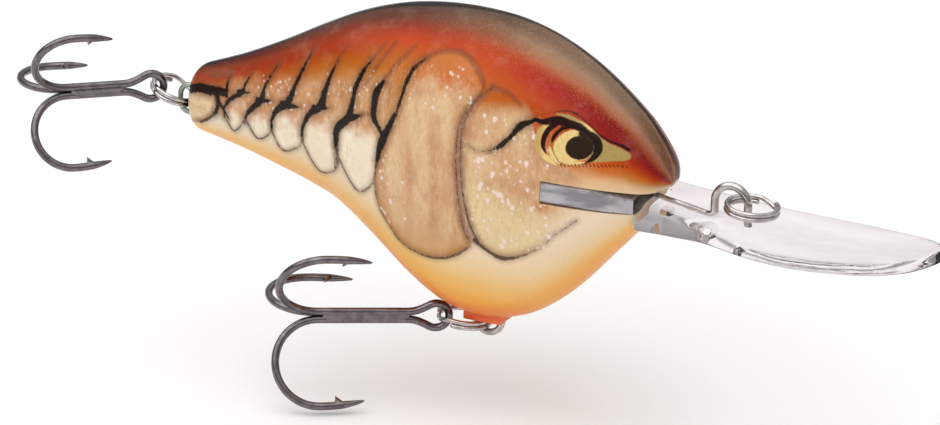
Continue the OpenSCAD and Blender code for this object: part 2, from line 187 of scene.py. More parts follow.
# ---------------------------------------------------------------- shape of the lure
TAIL_X, NOSE_X = -67.1, -7.2
BODY_ROUND, TAIL_EDGE_R = 2.2, 1.7
BACK_LINE = [[-67.1, 4.5], [-61, 7], [-56, 9.5], [-51, 12.3], [-46.4, 14.6], [-41.5, 16.3],
             [-36.5, 17.2], [-31.6, 17.4], [-26.6, 16.9], [-21.6, 15.3], [-16.6, 12.5],
             [-11.5, 8.3], [-9.6, 6], [-8.3, 4], [-7.5, 2.4], [-7.2, 1.3]]
BELLY_LINE = [[-67.1, -2.6], [-60.7, -3.9], [-55.7, -5.2], [-50.7, -6.7], [-47.5, -8],
              [-43.1, -11.1], [-38, -15.2], [-34, -17.6], [-30, -18.5], [-26.5, -18.2],
              [-22.5, -16.6], [-18.3, -13.3], [-13.6, -8.1], [-11, -5.2], [-9.4, -3.4],
              [-8.2, -1.4], [-7.5, 0], [-7.2, 0.8]]
WIDTH_LINE = [[-67.1, 2.9], [-62, 3.6], [-56, 4.6], [-50, 5.8], [-44, 7], [-38, 8],
              [-32, 8.55], [-26.5, 8.7], [-21.5, 8.4], [-17, 7.6], [-13, 6.55],
              [-9.8, 5.3], [-8.6, 4.5], [-7.8, 3.3], [-7.4, 1.9], [-7.2, 0.7]]

LIP_BACK_X, JAW_X, LIP_TIP_X = -19.8, -9.7, 25.5
LIP_TOP = [[-19.8, 1.5], [-14, 1.15], [-9.6, 0.1], [-4, -0.75], [0, -1.35], [4.3, -1.9],
           [9, -2.1], [13.7, -2.05], [19.4, -1.8], [23.3, -1.35], [25.5, -0.9]]
LIP_UNDER = [[-9.62, -3.8], [-4, -3.4], [-0.5, -3.15], [5, -3.55], [10, -3.75],
             [15, -3.65], [20, -3.35], [23.5, -2.9], [25.5, -2.3]]
LIP_PLAN = [[-9.62, 4.9], [-6, 5.45], [-1.3, 6.45], [4.3, 7.5], [9, 7.8], [13.7, 7.5],
            [19.4, 6.35], [22.3, 4.95], [24.2, 3.3], [25.2, 1.7], [25.5, 0.6]]
SLOT_TOP, SLOT_FLOOR = (1.6, 0.98), (-1.1, -1.74)
SLOT_GAP = 0.04


def tail_cut(x):
    d = np.clip(TAIL_EDGE_R - (x - TAIL_X), 0, TAIL_EDGE_R)
    return TAIL_EDGE_R - np.sqrt(TAIL_EDGE_R**2 - d * d)


def body_mid(x):
    return (smooth_curve(BACK_LINE, x) + smooth_curve(BELLY_LINE, x)) / 2


def body_half_h(x):
    return (smooth_curve(BACK_LINE, x) - smooth_curve(BELLY_LINE, x)) / 2 - tail_cut(x)


def body_half_y(x):
    return smooth_curve(WIDTH_LINE, x) - tail_cut(x)


def flank_y(x, z):
    t = np.clip(np.abs(z - body_mid(x)) / body_half_h(x), 0, 1)
    return body_half_y(x) * (1 - t**BODY_ROUND) ** (1 / BODY_ROUND)


def slot_height(ends, x):
    return ends[0] + (ends[1] - ends[0]) * (x - LIP_BACK_X) / (JAW_X - LIP_BACK_X)


# ---------------------------------------------------------------- body halves
BODY_STATIONS, BODY_POINTS = 400, 210


def half_body_verts(side):
    i = np.arange(BODY_STATIONS)
    ease = 0.5 - 0.5 * np.cos(np.pi * i / (BODY_STATIONS - 1))
    even = i / (BODY_STATIONS - 1)
    x = TAIL_X + (NOSE_X - TAIL_X) * (0.35 * ease + 0.65 * even)
    a = np.pi * np.arange(BODY_POINTS) / (BODY_POINTS - 1)
    s, c = np.sin(a), np.cos(a)
    s[0] = s[-1] = 0
    y = side * body_half_y(x)[:, None] * (s ** (2 / BODY_ROUND))[None]
    z = body_mid(x)[:, None] + body_half_h(x)[:, None] * (np.sign(c) * np.abs(c) ** (2 / BODY_ROUND))[None]
    return np.stack([np.repeat(x[:, None], BODY_POINTS, 1), y, z], axis=2).reshape(-1, 3)


def slot_cutter():
    """A prism that cuts the lip's slot and the room before the lower jaw."""
    front = 2.0
    outline = [(LIP_BACK_X - SLOT_GAP, SLOT_FLOOR[0]), (JAW_X, SLOT_FLOOR[1]), (JAW_X, -12),
               (front, -12), (front, slot_height(SLOT_TOP, front)),
               (LIP_BACK_X - SLOT_GAP, SLOT_TOP[0])]
    verts = [(x, y, z) for y in (-15, 15) for x, z in outline]
    n = len(outline)
    faces = [tuple(range(n)), tuple(range(2 * n - 1, n - 1, -1))]
    faces += [((k + 1) % n, k, n + k, n + (k + 1) % n) for k in range(n)]
    return mesh_object("slot_cutter", verts, faces, smooth=False)


def cut_half(name, side, cutter):
    verts = half_body_verts(side)
    faces = skin_faces(BODY_STATIONS, BODY_POINTS)
    if side > 0:
        faces = [f[::-1] for f in faces]
    obj = mesh_object(name, verts, faces)
    cut = obj.modifiers.new("slot", "BOOLEAN")
    cut.operation, cut.solver, cut.object = "DIFFERENCE", "EXACT", cutter
    bpy.context.view_layer.update()
    done = bpy.data.meshes.new_from_object(obj.evaluated_get(bpy.context.evaluated_depsgraph_get()))
    obj.modifiers.clear()
    obj.data = done
    done.shade_smooth()
    done.set_sharp_from_angle(angle=math.radians(35))
    return obj


# ---------------------------------------------------------------- paint fields
def srgb(r, g, b):
    """Linear colour of an sRGB colour given as 0 to 255."""
    c = np.array([r, g, b]) / 255.0
    return np.where(c <= 0.04045, c / 12.92, ((c + 0.055) / 1.055) ** 2.4)


def step_up(edge0, edge1, v):
    t = np.clip((v - edge0) / (edge1 - edge0), 0, 1)
    return t * t * (3 - 2 * t)


def stroke(q, points, widths):
    """Distance in mm from a tapering brush stroke's edge, negative inside it."""
    p = np.asarray(points, float)
    w = np.interp(np.linspace(0, 1, len(p)), np.linspace(0, 1, len(widths)), widths)
    best = np.full(len(q), 99.0)
    for a, b, wa, wb in zip(p[:-1], p[1:], w[:-1], w[1:]):
        d = b - a
        t = np.clip((q - a) @ d / (d @ d), 0, 1)
        gap = np.linalg.norm(q - a - t[:, None] * d, axis=1) - (wa + (wb - wa) * t) / 2
        best = np.minimum(best, gap)
    return best


def area(q, points):
    """Signed distance in mm to a closed outline, negative inside it."""
    p = np.asarray(points, float)
    best = np.full(len(q), 99.0)
    inside = np.zeros(len(q), bool)
    for a, b in zip(p, np.roll(p, -1, axis=0)):
        d = b - a
        t = np.clip((q - a) @ d / (d @ d), 0, 1)
        best = np.minimum(best, np.linalg.norm(q - a - t[:, None] * d, axis=1))
        crosses = (a[1] > q[:, 1]) != (b[1] > q[:, 1])
        at = a[0] + (q[:, 1] - a[1]) * d[0] / (d[1] if d[1] else 1e-9)
        inside ^= crosses & (q[:, 0] < at)
    return np.where(inside, -best, best)


# Places on the flank are (x, z) in millimetres. A stroke is its path, then its widths from end to end
INK_STROKES = [
    ([(-61.2, 5.3), (-61.4, 4.2), (-61.3, 3.0)], [0.05, 0.35, 0.5]),
    ([(-58.5, 5.8), (-58.9, 4.7), (-59.4, 3.7), (-60.7, 2.7), (-61.5, 1.5), (-61.5, 0.4)],
     [0.04, 0.3, 0.62, 0.55, 0.34, 0.2]),
    ([(-59.6, 3.7), (-58.2, 4.0)], [0.7, 0.1]),
    ([(-54.9, 7.8), (-55.7, 6.2), (-56.2, 4.9), (-56.4, 3.7), (-57.3, 2.7), (-58.4, 1.4), (-58.7, 0.3)],
     [0.04, 0.22, 0.42, 0.8, 0.75, 0.4, 0.16]),
    ([(-56.9, 3.4), (-55.0, 3.8)], [0.9, 0.1]),
    ([(-50.5, 10.2), (-51.2, 8.3), (-52.0, 6.2), (-52.7, 4.3), (-54.1, 3.0), (-54.9, 1.7), (-55.0, 0.4)],
     [0.06, 0.40, 0.5, 0.9, 0.8, 0.42, 0.24]),
    ([(-53.4, 3.7), (-51.1, 4.0)], [1.1, 0.1]),
    ([(-46.6, 10.2), (-47.2, 8.6), (-47.8, 6.5), (-48.2, 4.9), (-49.7, 3.5), (-50.5, 2.0), (-50.8, 0.6)],
     [0.06, 0.42, 0.7, 1.05, 0.7, 0.45, 0.26]),
    ([(-49.0, 4.3), (-47.0, 4.9)], [1.0, 0.12]),
    ([(-42.1, 11.3), (-43.0, 9.8), (-43.7, 7.9), (-43.9, 6.2), (-44.4, 4.3), (-45.8, 2.7), (-46.0, 0.6)],
     [0.16, 0.55, 0.6, 0.62, 1.0, 1.0, 0.55]),
    ([(-44.0, 4.4), (-42.7, 5.0)], [0.9, 0.3]),
    ([(-40.1, 9.4), (-40.8, 8.1), (-41.0, 6.6), (-40.9, 5.1), (-40.2, 4.0)], [0.4, 0.95, 0.8, 0.75, 0.4]),
    ([(-38.2, 6.0), (-38.9, 4.4), (-39.7, 2.6), (-40.3, 0.2)], [0.5, 0.8, 1.0, 0.5]),
    ([(-40.2, 4.2), (-39.4, 2.8)], [0.45, 0.6]),
    ([(-35.3, 12.7), (-36.5, 11.5), (-37.2, 9.8), (-37.6, 8.0), (-38.1, 6.0)], [0.16, 0.42, 0.48, 0.3, 0.4]),
    ([(-66.9, 2.3), (-65.3, 3.0), (-63.5, 3.1), (-61.6, 3.3)], [0.75, 1.0, 1.1, 0.9]),
    ([(-62.6, 3.0), (-62.3, 1.8), (-62.6, 0.6)], [0.6, 0.36, 0.3]),
    ([(-62.2, 2.0), (-61.4, 1.0), (-61.0, 0.4)], [0.4, 0.3, 0.2]),
    ([(-25.9, 4.2), (-24.7, 5.0), (-23.6, 6.2), (-22.6, 7.5), (-21.1, 8.3)], [0.12, 0.6, 0.5, 0.85, 0.4]),
]
FAINT_STROKES = [
    ([(-50.5, 10.2), (-49.8, 11.2)], [0.2, 0.05]),
    ([(-46.6, 10.2), (-45.8, 12.0)], [0.25, 0.05]),
    ([(-42.1, 11.3), (-40.9, 13.2)], [0.3, 0.08]),
    ([(-40.1, 9.4), (-38.7, 11.6), (-36.9, 13.8)], [0.3, 0.3, 0.05]),
    ([(-42.7, 8.1), (-41.7, 9.9), (-40.7, 11.8), (-39.5, 13.7)], [0.1, 0.25, 0.25, 0.05]),
    ([(-35.3, 12.7), (-33.9, 13.6), (-31.9, 14.0), (-30.1, 13.6), (-28.6, 12.4), (-27.7, 11.2)],
     [0.3, 0.3, 0.3, 0.35, 0.4, 0.4]),
    ([(-65.2, 4.9), (-63.2, 4.8), (-61.4, 5.5)], [0.2, 0.7, 0.3]),
    ([(-43.2, 4.7), (-42.1, 5.3), (-41.1, 5.4)], [0.3, 0.35, 0.3]),
    ([(-26.6, 11.1), (-24.6, 10.7), (-22.9, 9.6)], [0.4, 0.3, 0.05]),
]
SCALES = [
    [(-61.6, 1.9), (-61.5, 0.7), (-61.0, -0.3), (-60.2, -1.1), (-58.9, 0.4), (-58.6, 2.4), (-59.8, 3.2)],
    [(-58.6, 1.2), (-58.2, 0.2), (-57.0, -1.3), (-55.2, -0.1), (-54.9, 1.6), (-56.0, 3.4), (-57.6, 2.3)],
    [(-55.0, 1.0), (-54.6, -0.6), (-53.7, -1.9), (-52.4, -1.6), (-50.9, -0.4), (-50.9, 1.9),
     (-51.8, 3.9), (-53.9, 3.0)],
    [(-50.9, 1.0), (-50.3, -0.9), (-48.7, -3.3), (-46.8, -2.9), (-45.6, -1.5), (-46.1, 1.5),
     (-47.4, 4.4), (-49.7, 3.4)],
    [(-46.1, 1.3), (-45.5, -1.0), (-43.4, -4.2), (-41.8, -3.7), (-40.7, -2.1), (-40.1, 1.6),
     (-40.3, 3.4), (-41.2, 4.9), (-42.8, 4.9), (-44.6, 3.7)],
]
TAIL_FAN = [(-67.6, 2.2), (-64.8, 2.6), (-62.8, 2.7), (-62.5, 1.5), (-63.2, 0.1), (-64.9, -1.1),
            (-67.6, -1.3)]
BIG_PLATE = [(-33.5, 13.8), (-35.0, 12.9), (-36.4, 11.4), (-37.2, 9.6), (-37.9, 7.2), (-38.4, 5.2),
             (-39.7, 2.0), (-40.5, -0.6), (-40.6, -3.2), (-40.2, -5.6), (-38.9, -7.7), (-37.4, -9.4),
             (-35.0, -10.2), (-32.3, -10.1), (-30.1, -9.2), (-28.0, -7.4), (-28.6, -5.0),
             (-29.3, -2.1), (-29.7, 0.5), (-29.9, 2.9), (-29.8, 5.1), (-29.4, 7.5), (-28.5, 9.2),
             (-27.9, 11.2), (-28.6, 12.7), (-30.0, 13.6), (-31.7, 14.1)]
PLATE_EDGE = BIG_PLATE[5:15] + [(-28.2, -7.7)]
SEAM_OUTER = [(-27.7, 10.4), (-29.1, 8.5), (-30.0, 6.3), (-30.1, 3.5), (-29.9, 0.6), (-29.6, -2.2),
              (-29.1, -5.1), (-28.4, -6.9)]
SEAM_INNER = [(-26.6, 11.1), (-28.3, 9.3), (-29.2, 7.5), (-29.6, 5.4), (-29.5, 3.1), (-29.3, 0.2),
              (-28.8, -2.6), (-28.0, -5.2), (-27.1, -7.0)]
CHEEK = [(-26.6, 11.1), (-28.4, 9.2), (-29.4, 6.6), (-29.8, 2.9), (-29.5, 0.5), (-28.7, -4.3),
         (-27.3, -7.0), (-25.9, -7.9), (-24.3, -8.5), (-22.1, -8.0), (-19.9, -6.6),
         (-18.3, -4.9), (-15.7, -2.7), (-13.5, 1.0), (-17.0, 3.2), (-20.6, 5.0), (-21.2, 8.0), (-23.0, 10.4)]
CHEEK_EDGE = [(-27.6, -6.8), (-25.9, -7.9), (-24.3, -8.5), (-22.1, -7.9), (-19.9, -6.6)]
CHEEK_LINE = [(-19.2, -5.9), (-18.3, -4.9), (-15.7, -2.7)]
CHEEK_HAIR = [(-28.9, 4.6), (-27.6, 3.9), (-25.9, 4.2)]
PINK_LINE = [(-29.0, 2.2), (-27.5, 3.0), (-25.6, 3.8), (-24.2, 4.2)]
PUPIL, PUPIL_R = (-15.8, 5.8), (1.52, 1.30)
EYE_DARK = [
    ([(-15.9, 7.3), (-14.9, 7.2), (-14.1, 6.6), (-13.8, 5.7), (-14.2, 4.8), (-15.1, 4.1)],
     [0.5, 0.8, 0.9, 0.95, 0.6, 0.1]),
    ([(-16.9, 8.0), (-17.5, 7.9), (-18.1, 7.6), (-18.5, 7.1), (-18.8, 6.5), (-18.9, 5.9)],
     [0.4, 0.45, 0.42, 0.45, 0.4, 0.1]),
    ([(-18.9, 5.9), (-18.5, 4.9), (-17.8, 4.0), (-17.1, 3.7)], [0.06, 0.10, 0.10, 0.12]),
    ([(-18.6, 8.2), (-19.4, 7.5), (-19.8, 6.5), (-19.8, 5.6), (-19.4, 4.8)], [0.5, 0.65, 0.6, 0.5, 0.12]),
    ([(-21.2, 8.4), (-20.2, 8.2), (-19.3, 8.4), (-18.4, 8.5), (-17.4, 8.3), (-16.3, 8.0),
      (-15.4, 7.5), (-14.5, 6.9), (-13.8, 6.2)], [0.35, 0.6, 0.85, 0.95, 0.8, 0.8, 0.7, 0.6, 0.4]),
    ([(-19.3, 9.3), (-18.3, 9.5), (-17.1, 9.4), (-15.7, 8.6), (-14.0, 7.3), (-12.7, 6.6),
      (-11.6, 6.2), (-10.8, 5.7)], [0.1, 0.16, 0.14, 0.1, 0.12, 0.2, 0.22, 0.3]),
]
EYE_ORANGE = [
    ([(-16.0, 4.35), (-15.0, 4.5), (-14.4, 5.0)], [0.12, 0.26, 0.1]),
    ([(-18.1, 7.9), (-18.8, 7.3), (-19.2, 6.5), (-19.3, 5.6)], [0.12, 0.2, 0.22, 0.12]),
    ([(-21.0, 7.9), (-20.8, 6.9)], [0.4, 0.15]),
]
IRIS = [(-16.0, 7.7), (-17.0, 7.6), (-17.9, 7.1), (-18.5, 6.3), (-18.6, 5.3), (-18.1, 4.4), (-17.1, 3.9),
        (-16.0, 3.9), (-14.8, 4.4), (-14.2, 5.5), (-14.6, 6.8)]
EYE_GOLD_STROKES = [
    ([(-19.4, 8.0), (-20.2, 7.3), (-20.5, 6.4), (-20.4, 5.5), (-19.8, 4.7), (-19.1, 4.2), (-18.2, 3.7)],
     [0.5, 0.7, 0.7, 0.7, 0.65, 0.6, 0.2]),
    ([(-19.1, 5.6), (-18.6, 4.6), (-17.8, 4.0)], [0.2, 0.6, 0.4]),
    ([(-18.9, 9.2), (-17.5, 8.9), (-16.1, 8.3), (-14.9, 7.6), (-13.9, 6.8), (-12.8, 6.2)],
     [0.15, 0.5, 0.5, 0.55, 0.5, 0.4]),
]
EYE_CORNER = [(-14.3, 6.2), (-13.4, 6.5), (-12.2, 6.2), (-10.8, 5.5), (-10.5, 4.8), (-11.9, 4.6),
              (-14.3, 4.5)]
EYE_HATCH = [(-17.7, 3.6), (-16.2, 3.8), (-14.7, 4.0), (-13.0, 4.05), (-11.8, 4.1), (-10.6, 4.0)]


def ramp_of(*stops):
    """A colour ramp from (height, r, g, b) stops."""
    return [s[0] for s in stops], np.array([srgb(*s[1:]) for s in stops])


BELLY_STOPS = [(0.0, 226, 100, 36), (0.05, 234, 128, 46), (0.09, 239, 164, 66), (0.125, 240, 180, 92),
               (0.16, 237, 186, 106), (0.19, 236, 195, 130), (0.22, 236, 202, 150), (0.27, 236, 209, 172),
               (0.34, 236, 214, 186), (0.5, 226, 190, 148)]
FRONT_BELLY = [(0.0, 236, 156, 70), (0.04, 238, 168, 84), (0.08, 239, 178, 98), (0.115, 238, 192, 124),
               (0.15, 237, 201, 146), (0.19, 236, 208, 166), (0.27, 236, 213, 180), *BELLY_STOPS[8:]]
TAIL_BELLY = [(0.0, 236, 168, 92), (0.08, 238, 176, 104), (0.16, 236, 190, 126), (0.2, 234, 200, 152),
              (0.26, 232, 210, 178), (0.34, 226, 212, 192), (0.5, 206, 172, 138)]
GROUND_X = [-58.0, -48.0, -38.0, -28.0, -21.0, -13.0, -9.0]
# Painted reflection: the pale greyish-brown stops at the very top of the ramps from x -28 forward stand for
# an overhead softbox's reflection on the head, not for paint.
GROUND_AND_SHEEN_RAMPS = [
    ramp_of(*TAIL_BELLY, (0.62, 190, 120, 76), (0.74, 176, 90, 48), (0.81, 166, 72, 41),
            (0.87, 152, 60, 38), (0.925, 136, 63, 45), (0.96, 104, 50, 38), (1.0, 80, 44, 36)),
    ramp_of(*TAIL_BELLY, (0.66, 198, 144, 94), (0.75, 186, 118, 64), (0.81, 178, 94, 46),
            (0.86, 164, 66, 39), (0.91, 158, 62, 40), (0.945, 136, 64, 48), (0.975, 106, 66, 58),
            (1.0, 90, 62, 54)),
    ramp_of(*BELLY_STOPS, (0.72, 198, 142, 90), (0.80, 192, 116, 56), (0.86, 188, 98, 46),
            (0.905, 190, 78, 42), (0.93, 176, 66, 39), (0.952, 144, 58, 40), (0.975, 110, 60, 48),
            (1.0, 88, 68, 58)),
    ramp_of(*BELLY_STOPS, (0.72, 200, 140, 88), (0.80, 190, 104, 50), (0.87, 192, 90, 43),
            (0.905, 191, 76, 42), (0.93, 184, 72, 43), (0.948, 170, 80, 52), (0.965, 148, 88, 64),
            (0.99, 126, 96, 78), (1.0, 96, 76, 64)),
    ramp_of(*FRONT_BELLY, (0.64, 206, 152, 104), (0.74, 190, 110, 60), (0.80, 182, 80, 39),
            (0.85, 186, 76, 40), (0.875, 181, 62, 39), (0.90, 172, 50, 37), (0.925, 170, 60, 40),
            (0.942, 176, 86, 58), (0.962, 172, 118, 90), (0.985, 158, 128, 104), (1.0, 130, 104, 86)),
    ramp_of(*FRONT_BELLY, (0.56, 226, 184, 138), (0.63, 204, 112, 52), (0.70, 196, 84, 40),
            (0.78, 160, 52, 32), (0.86, 136, 38, 26), (0.915, 134, 38, 27), (0.936, 150, 64, 46),
            (0.955, 174, 108, 82), (0.985, 168, 130, 106), (1.0, 130, 108, 90)),
    ramp_of(*FRONT_BELLY, (0.56, 210, 170, 128), (0.63, 194, 132, 76), (0.715, 190, 88, 42),
            (0.79, 172, 62, 36), (0.85, 146, 46, 30), (0.90, 134, 44, 30), (0.945, 158, 82, 58),
            (0.985, 160, 108, 84), (1.0, 116, 80, 64)),
]
# Painted shade: what the clear coat's reflection adds to dark paint, taken off the upper paint beforehand
COAT_SHEEN_SHADE = 0.02
SOFT_BROWN = srgb(104, 64, 40)
CREAM = srgb(238, 220, 194)
SCALE_TAN = srgb(196, 140, 96)
TAN = srgb(206, 160, 118)
PALE_TAN = srgb(219, 183, 141)
ROSE_TAN = srgb(182, 124, 90)
SLOT_GREY = srgb(200, 194, 196)
# Room below the slot's floor that is painted grey too, and a distance that keeps marks out of the slot
JAW_ROOM, CLEAR_OFF = 9, 9


def value_noise(q, size, seed):
    """Smooth noise between 0 and 1 at the points q, with cells of the size given."""
    rng = np.random.default_rng(seed)
    grid = rng.random((64, 64))
    u, v = q[:, 0] / size + 200, q[:, 1] / size + 200
    i, j = np.floor(u).astype(int), np.floor(v).astype(int)
    fu, fv = u - i, v - j
    fu, fv = fu * fu * (3 - 2 * fu), fv * fv * (3 - 2 * fv)
    low, high = (grid[i % 64, k % 64] * (1 - fu) + grid[(i + 1) % 64, k % 64] * fu for k in (j, j + 1))
    return low * (1 - fv) + high * fv


def cloud(q, size, seed):
    """Two octaves of value noise, centred on 0."""
    return (value_noise(q, size, seed) + 0.5 * value_noise(q, size / 2.3, seed + 1)) / 1.5 - 0.5


def ground_and_sheen_colour(x, up):
    """Sprayed ground colour, with a painted reflection band on the head's top: ramps over the section's
    height, mixed along the body.
    """
    layers = np.stack([np.stack([np.interp(up, at, rgb[:, k]) for k in range(3)], 1)
                       for at, rgb in GROUND_AND_SHEEN_RAMPS])
    place = np.interp(x, GROUND_X, np.arange(len(GROUND_X)))
    i = np.minimum(place.astype(int), len(GROUND_X) - 2)
    f = (place - i)[:, None]
    rows = np.arange(len(x))
    return layers[i, rows] * (1 - f) + layers[i + 1, rows] * f


def nearest_stroke(q, strokes):
    best = np.full(len(q), 99.0)
    for path, widths in strokes:
        best = np.minimum(best, stroke(q, curved(path), widths))
    return best


def layer(base, colour, amount):
    """base with colour laid over it. colour is one colour or one per point."""
    return base + (np.asarray(colour) - base) * np.asarray(amount)[:, None]


def scale_row(x):
    """Height of the row of scales along the tail."""
    return 0.26 * (x + 61)


def painted_abdomen(base, q, lines):
    """Tan flesh between the strokes and the row of cream scales under it."""
    x, z = q[:, 0], q[:, 1]
    rise = z - scale_row(x)
    behind = step_up(-38.0, -39.5, x) * step_up(-63.0, -61.0, x)
    flesh = behind * step_up(0.0, 2.0, rise) * step_up(5.6, 3.4, rise + 1.6 * cloud(q, 1.6, 51))
    base = layer(base, srgb(196, 142, 98), 0.85 * flesh)
    base = layer(base, srgb(222, 182, 140), flesh * 1.1 * np.clip(cloud(q, 1.0, 53), 0, 1))
    base = layer(base, srgb(150, 94, 58), flesh * 1.3 * np.clip(-cloud(q, 1.3, 55), 0, 1))
    for outline in SCALES:
        shape = curved(outline, closed=True)
        top = max(p[1] for p in outline)
        fill = layer(np.tile(CREAM, (len(q), 1)), SCALE_TAN,
                     0.95 * step_up(top - 3.0, top - 1.1, z + 1.6 * cloud(q, 0.9, 11)))
        fill = layer(fill, srgb(250, 236, 214), 1.2 * np.clip(cloud(q, 1.1, 13), 0, 1))
        fill = layer(fill, srgb(214, 180, 140), step_up(-0.4, 0.0, area(q, shape)) * 0.5)
        base = layer(base, fill, step_up(0.06, -0.06, area(q, shape)))
        low = np.asarray(shape)[np.asarray(shape)[:, 1] < top - 2.4]
        order = np.argsort(low[:, 0])
        lines = np.minimum(lines, stroke(q, low[order], [0.14, 0.22, 0.12]))
    fan = curved(TAIL_FAN, closed=True)
    root_x, root_z = -69.0, 0.8
    spread = np.arctan2(z - root_z, x - root_x)
    fibre = value_noise(np.stack([spread * 14, np.hypot(x - root_x, z - root_z) * 0.5], 1), 1.0, 5)
    fill = layer(np.tile(srgb(196, 158, 118), (len(q), 1)), srgb(232, 206, 168), fibre)
    fill = layer(fill, srgb(150, 112, 78), step_up(-0.9, -0.1, area(q, fan)) * 0.7)
    base = layer(base, fill, step_up(0.08, -0.08, area(q, fan)))
    return base, np.minimum(lines, stroke(q, curved(TAIL_FAN[2:6]), [0.45, 0.4, 0.3]))


def painted_plates(base, q):
    """The two mottled plates over the shoulder and the cheek."""
    x, z = q[:, 0], q[:, 1]
    cheek = area(q, curved(CHEEK, closed=True))
    fill = layer(np.tile(TAN, (len(q), 1)), PALE_TAN, np.clip(0.35 + 2.4 * cloud(q, 3.4, 21), 0, 1))
    fill = layer(fill, ROSE_TAN, np.clip(-0.12 - 2.2 * cloud(q, 2.6, 25), 0, 1) * 0.85)
    fill = layer(fill, srgb(188, 132, 78), 0.8 * step_up(1.8, 0.2, np.hypot(x + 19.5, (z + 1.5) * 1.4)))
    fill = layer(fill, srgb(226, 206, 158), 0.8 * step_up(-1.0, -5.0, z + 0.3 * (x + 20)))
    fill = layer(fill, srgb(176, 112, 60), 0.7 * step_up(7.5, 10.5, z))
    fill = layer(fill, srgb(176, 128, 92), 0.55 * step_up(-1.5, 0.0, cheek))
    soft = step_up(10.6, 8.0, z - 0.2 * (x + 24)) * step_up(-15.0, -18.5, x - 0.5 * z)
    base = layer(base, fill, step_up(0.3, -0.3, cheek) * soft)
    plate = area(q, curved(BIG_PLATE, closed=True))
    lean = x + 0.10 * z + 0.012 * (z - 2) ** 2
    band = np.stack([lean, z * 0.10], 1)
    fill = layer(np.tile(TAN, (len(q), 1)), PALE_TAN, np.clip(0.45 + 2.2 * cloud(band, 1.8, 31), 0, 1))
    fill = layer(fill, ROSE_TAN, np.clip(-0.1 - 2.0 * cloud(band, 1.5, 35), 0, 1) * 0.8)
    fill = layer(fill, srgb(184, 126, 88), np.clip(-0.15 - 2.4 * cloud(q, 3.0, 37), 0, 1) * 0.8)
    fill = layer(fill, srgb(196, 150, 92), 0.8 * step_up(-4.0, -9.0, z) * (0.7 + cloud(q, 1.6, 45)))
    fill = layer(fill, srgb(186, 128, 72), 0.65 * step_up(-1.6, -0.1, plate) * step_up(12, 8, z))
    fill = layer(fill, srgb(198, 112, 52), step_up(9.0, 12.2, z + 2.4 * cloud(q, 1.8, 43)))
    return layer(base, fill, step_up(0.07, -0.07, plate))


def plate_lines(q, lines):
    for path, widths in ((PLATE_EDGE, [0.2, 0.3, 0.14, 0.16, 0.12, 0.14, 0.2, 0.32, 0.34, 0.2]),
                         (CHEEK_EDGE, [0.5, 0.4, 0.6, 0.2, 0.1]), (CHEEK_LINE, [0.1, 0.1]),
                         (CHEEK_HAIR, [0.08, 0.14]), (SEAM_INNER, [0.1, 0.14, 0.12, 0.1, 0.2, 0.2]),
                         (SEAM_OUTER, [0.05, 0.1, 0.1, 0.1, 0.16])):
        lines = np.minimum(lines, stroke(q, curved(path), widths))
    return lines


def painted_eye(q):
    """Distances to the eye's gold, its orange glints and its dark parts."""
    x, z = q[:, 0], q[:, 1]
    gold = np.minimum(area(q, curved(IRIS, closed=True)), nearest_stroke(q, EYE_GOLD_STROKES))
    gold = np.minimum(gold, area(q, curved(EYE_CORNER, closed=True)))
    glint = nearest_stroke(q, EYE_ORANGE)
    dark = nearest_stroke(q, EYE_DARK)
    pupil = (np.hypot((x - PUPIL[0]) / PUPIL_R[0], (z - PUPIL[1]) / PUPIL_R[1]) - 1) * PUPIL_R[1]
    hatch = stroke(q, curved(EYE_HATCH), [0.25, 0.42, 0.45, 0.4, 0.2])
    ticks = 0.16 * np.cos(2 * np.pi * (x + 0.5 * z) / 0.42) + 0.08
    return gold, glint, np.minimum(np.minimum(dark, pupil), np.maximum(hatch, ticks))


def paint(q, up, y):
    """All the paint's fields at the flank points q: base colour, and distances to the marks."""
    x, z = q[:, 0], q[:, 1]
    # Ground colour, with the painted reflection band on the head's top
    base = ground_and_sheen_colour(x, up + 0.006 * cloud(q, 2.5, 3) * (up > 0.5))
    # Painted shade on the upper body, to offset the clear coat's reflection
    base = np.maximum(base - COAT_SHEEN_SHADE * step_up(0.5, 0.65, up)[:, None], 0.004)
    base, lines = painted_abdomen(base, q, np.full(len(q), 99.0))
    base = painted_plates(base, q)
    lines = plate_lines(q, lines)
    ink = nearest_stroke(q, INK_STROKES)
    faint = nearest_stroke(q, FAINT_STROKES)
    seam = area(q, SEAM_OUTER + SEAM_INNER[::-1])
    base = layer(base, SOFT_BROWN, 0.55 * step_up(0.9, -0.1, ink))
    base = layer(base, SOFT_BROWN, 0.35 * step_up(0.7, 0.0, lines))
    base = layer(base, srgb(120, 60, 34), 0.65 * step_up(0.35, -0.1, faint))
    base = layer(base, srgb(128, 90, 78), 0.55 * step_up(0.9, -0.1, seam) * step_up(11.5, 9.5, z))
    dots = np.full(len(q), 99.0)
    for cx, cz, r in speckles():
        dots = np.minimum(dots, np.hypot(x - cx, (z - cz) * 0.85) - r)
    dots = np.minimum(dots, stroke(q, curved(PINK_LINE), [0.1, 0.16, 0.06]) + 0.04)
    gold, glint, eye = painted_eye(q)
    head = step_up(-40, -20, x)
    ridge = np.abs(y - 1.9 * head) - 1.0 + 0.4 * head
    olive = step_up(-15.2, -13.6, x) + step_up(8.2, 8.7, z)
    gold_tint = layer(np.tile(srgb(230, 200, 132), (len(q), 1)), srgb(172, 146, 86), np.clip(olive, 0, 1))
    gold_tint = layer(gold_tint, srgb(196, 164, 98), step_up(-19.4, -20.4, x))
    mottle = np.clip(step_up(-28, -29, x) * step_up(13, 11, z) + step_up(10, 8, z), 0, 1)
    mottle = mottle * step_up(0.28, 0.36, up) * step_up(-14, -18, x)
    mottle = mottle * (1 - step_up(-38.5, -40, x) * step_up(3.4, 5.0, z - scale_row(x)))
    return base, ink, lines, dots, gold, glint, eye, ridge, gold_tint, mottle


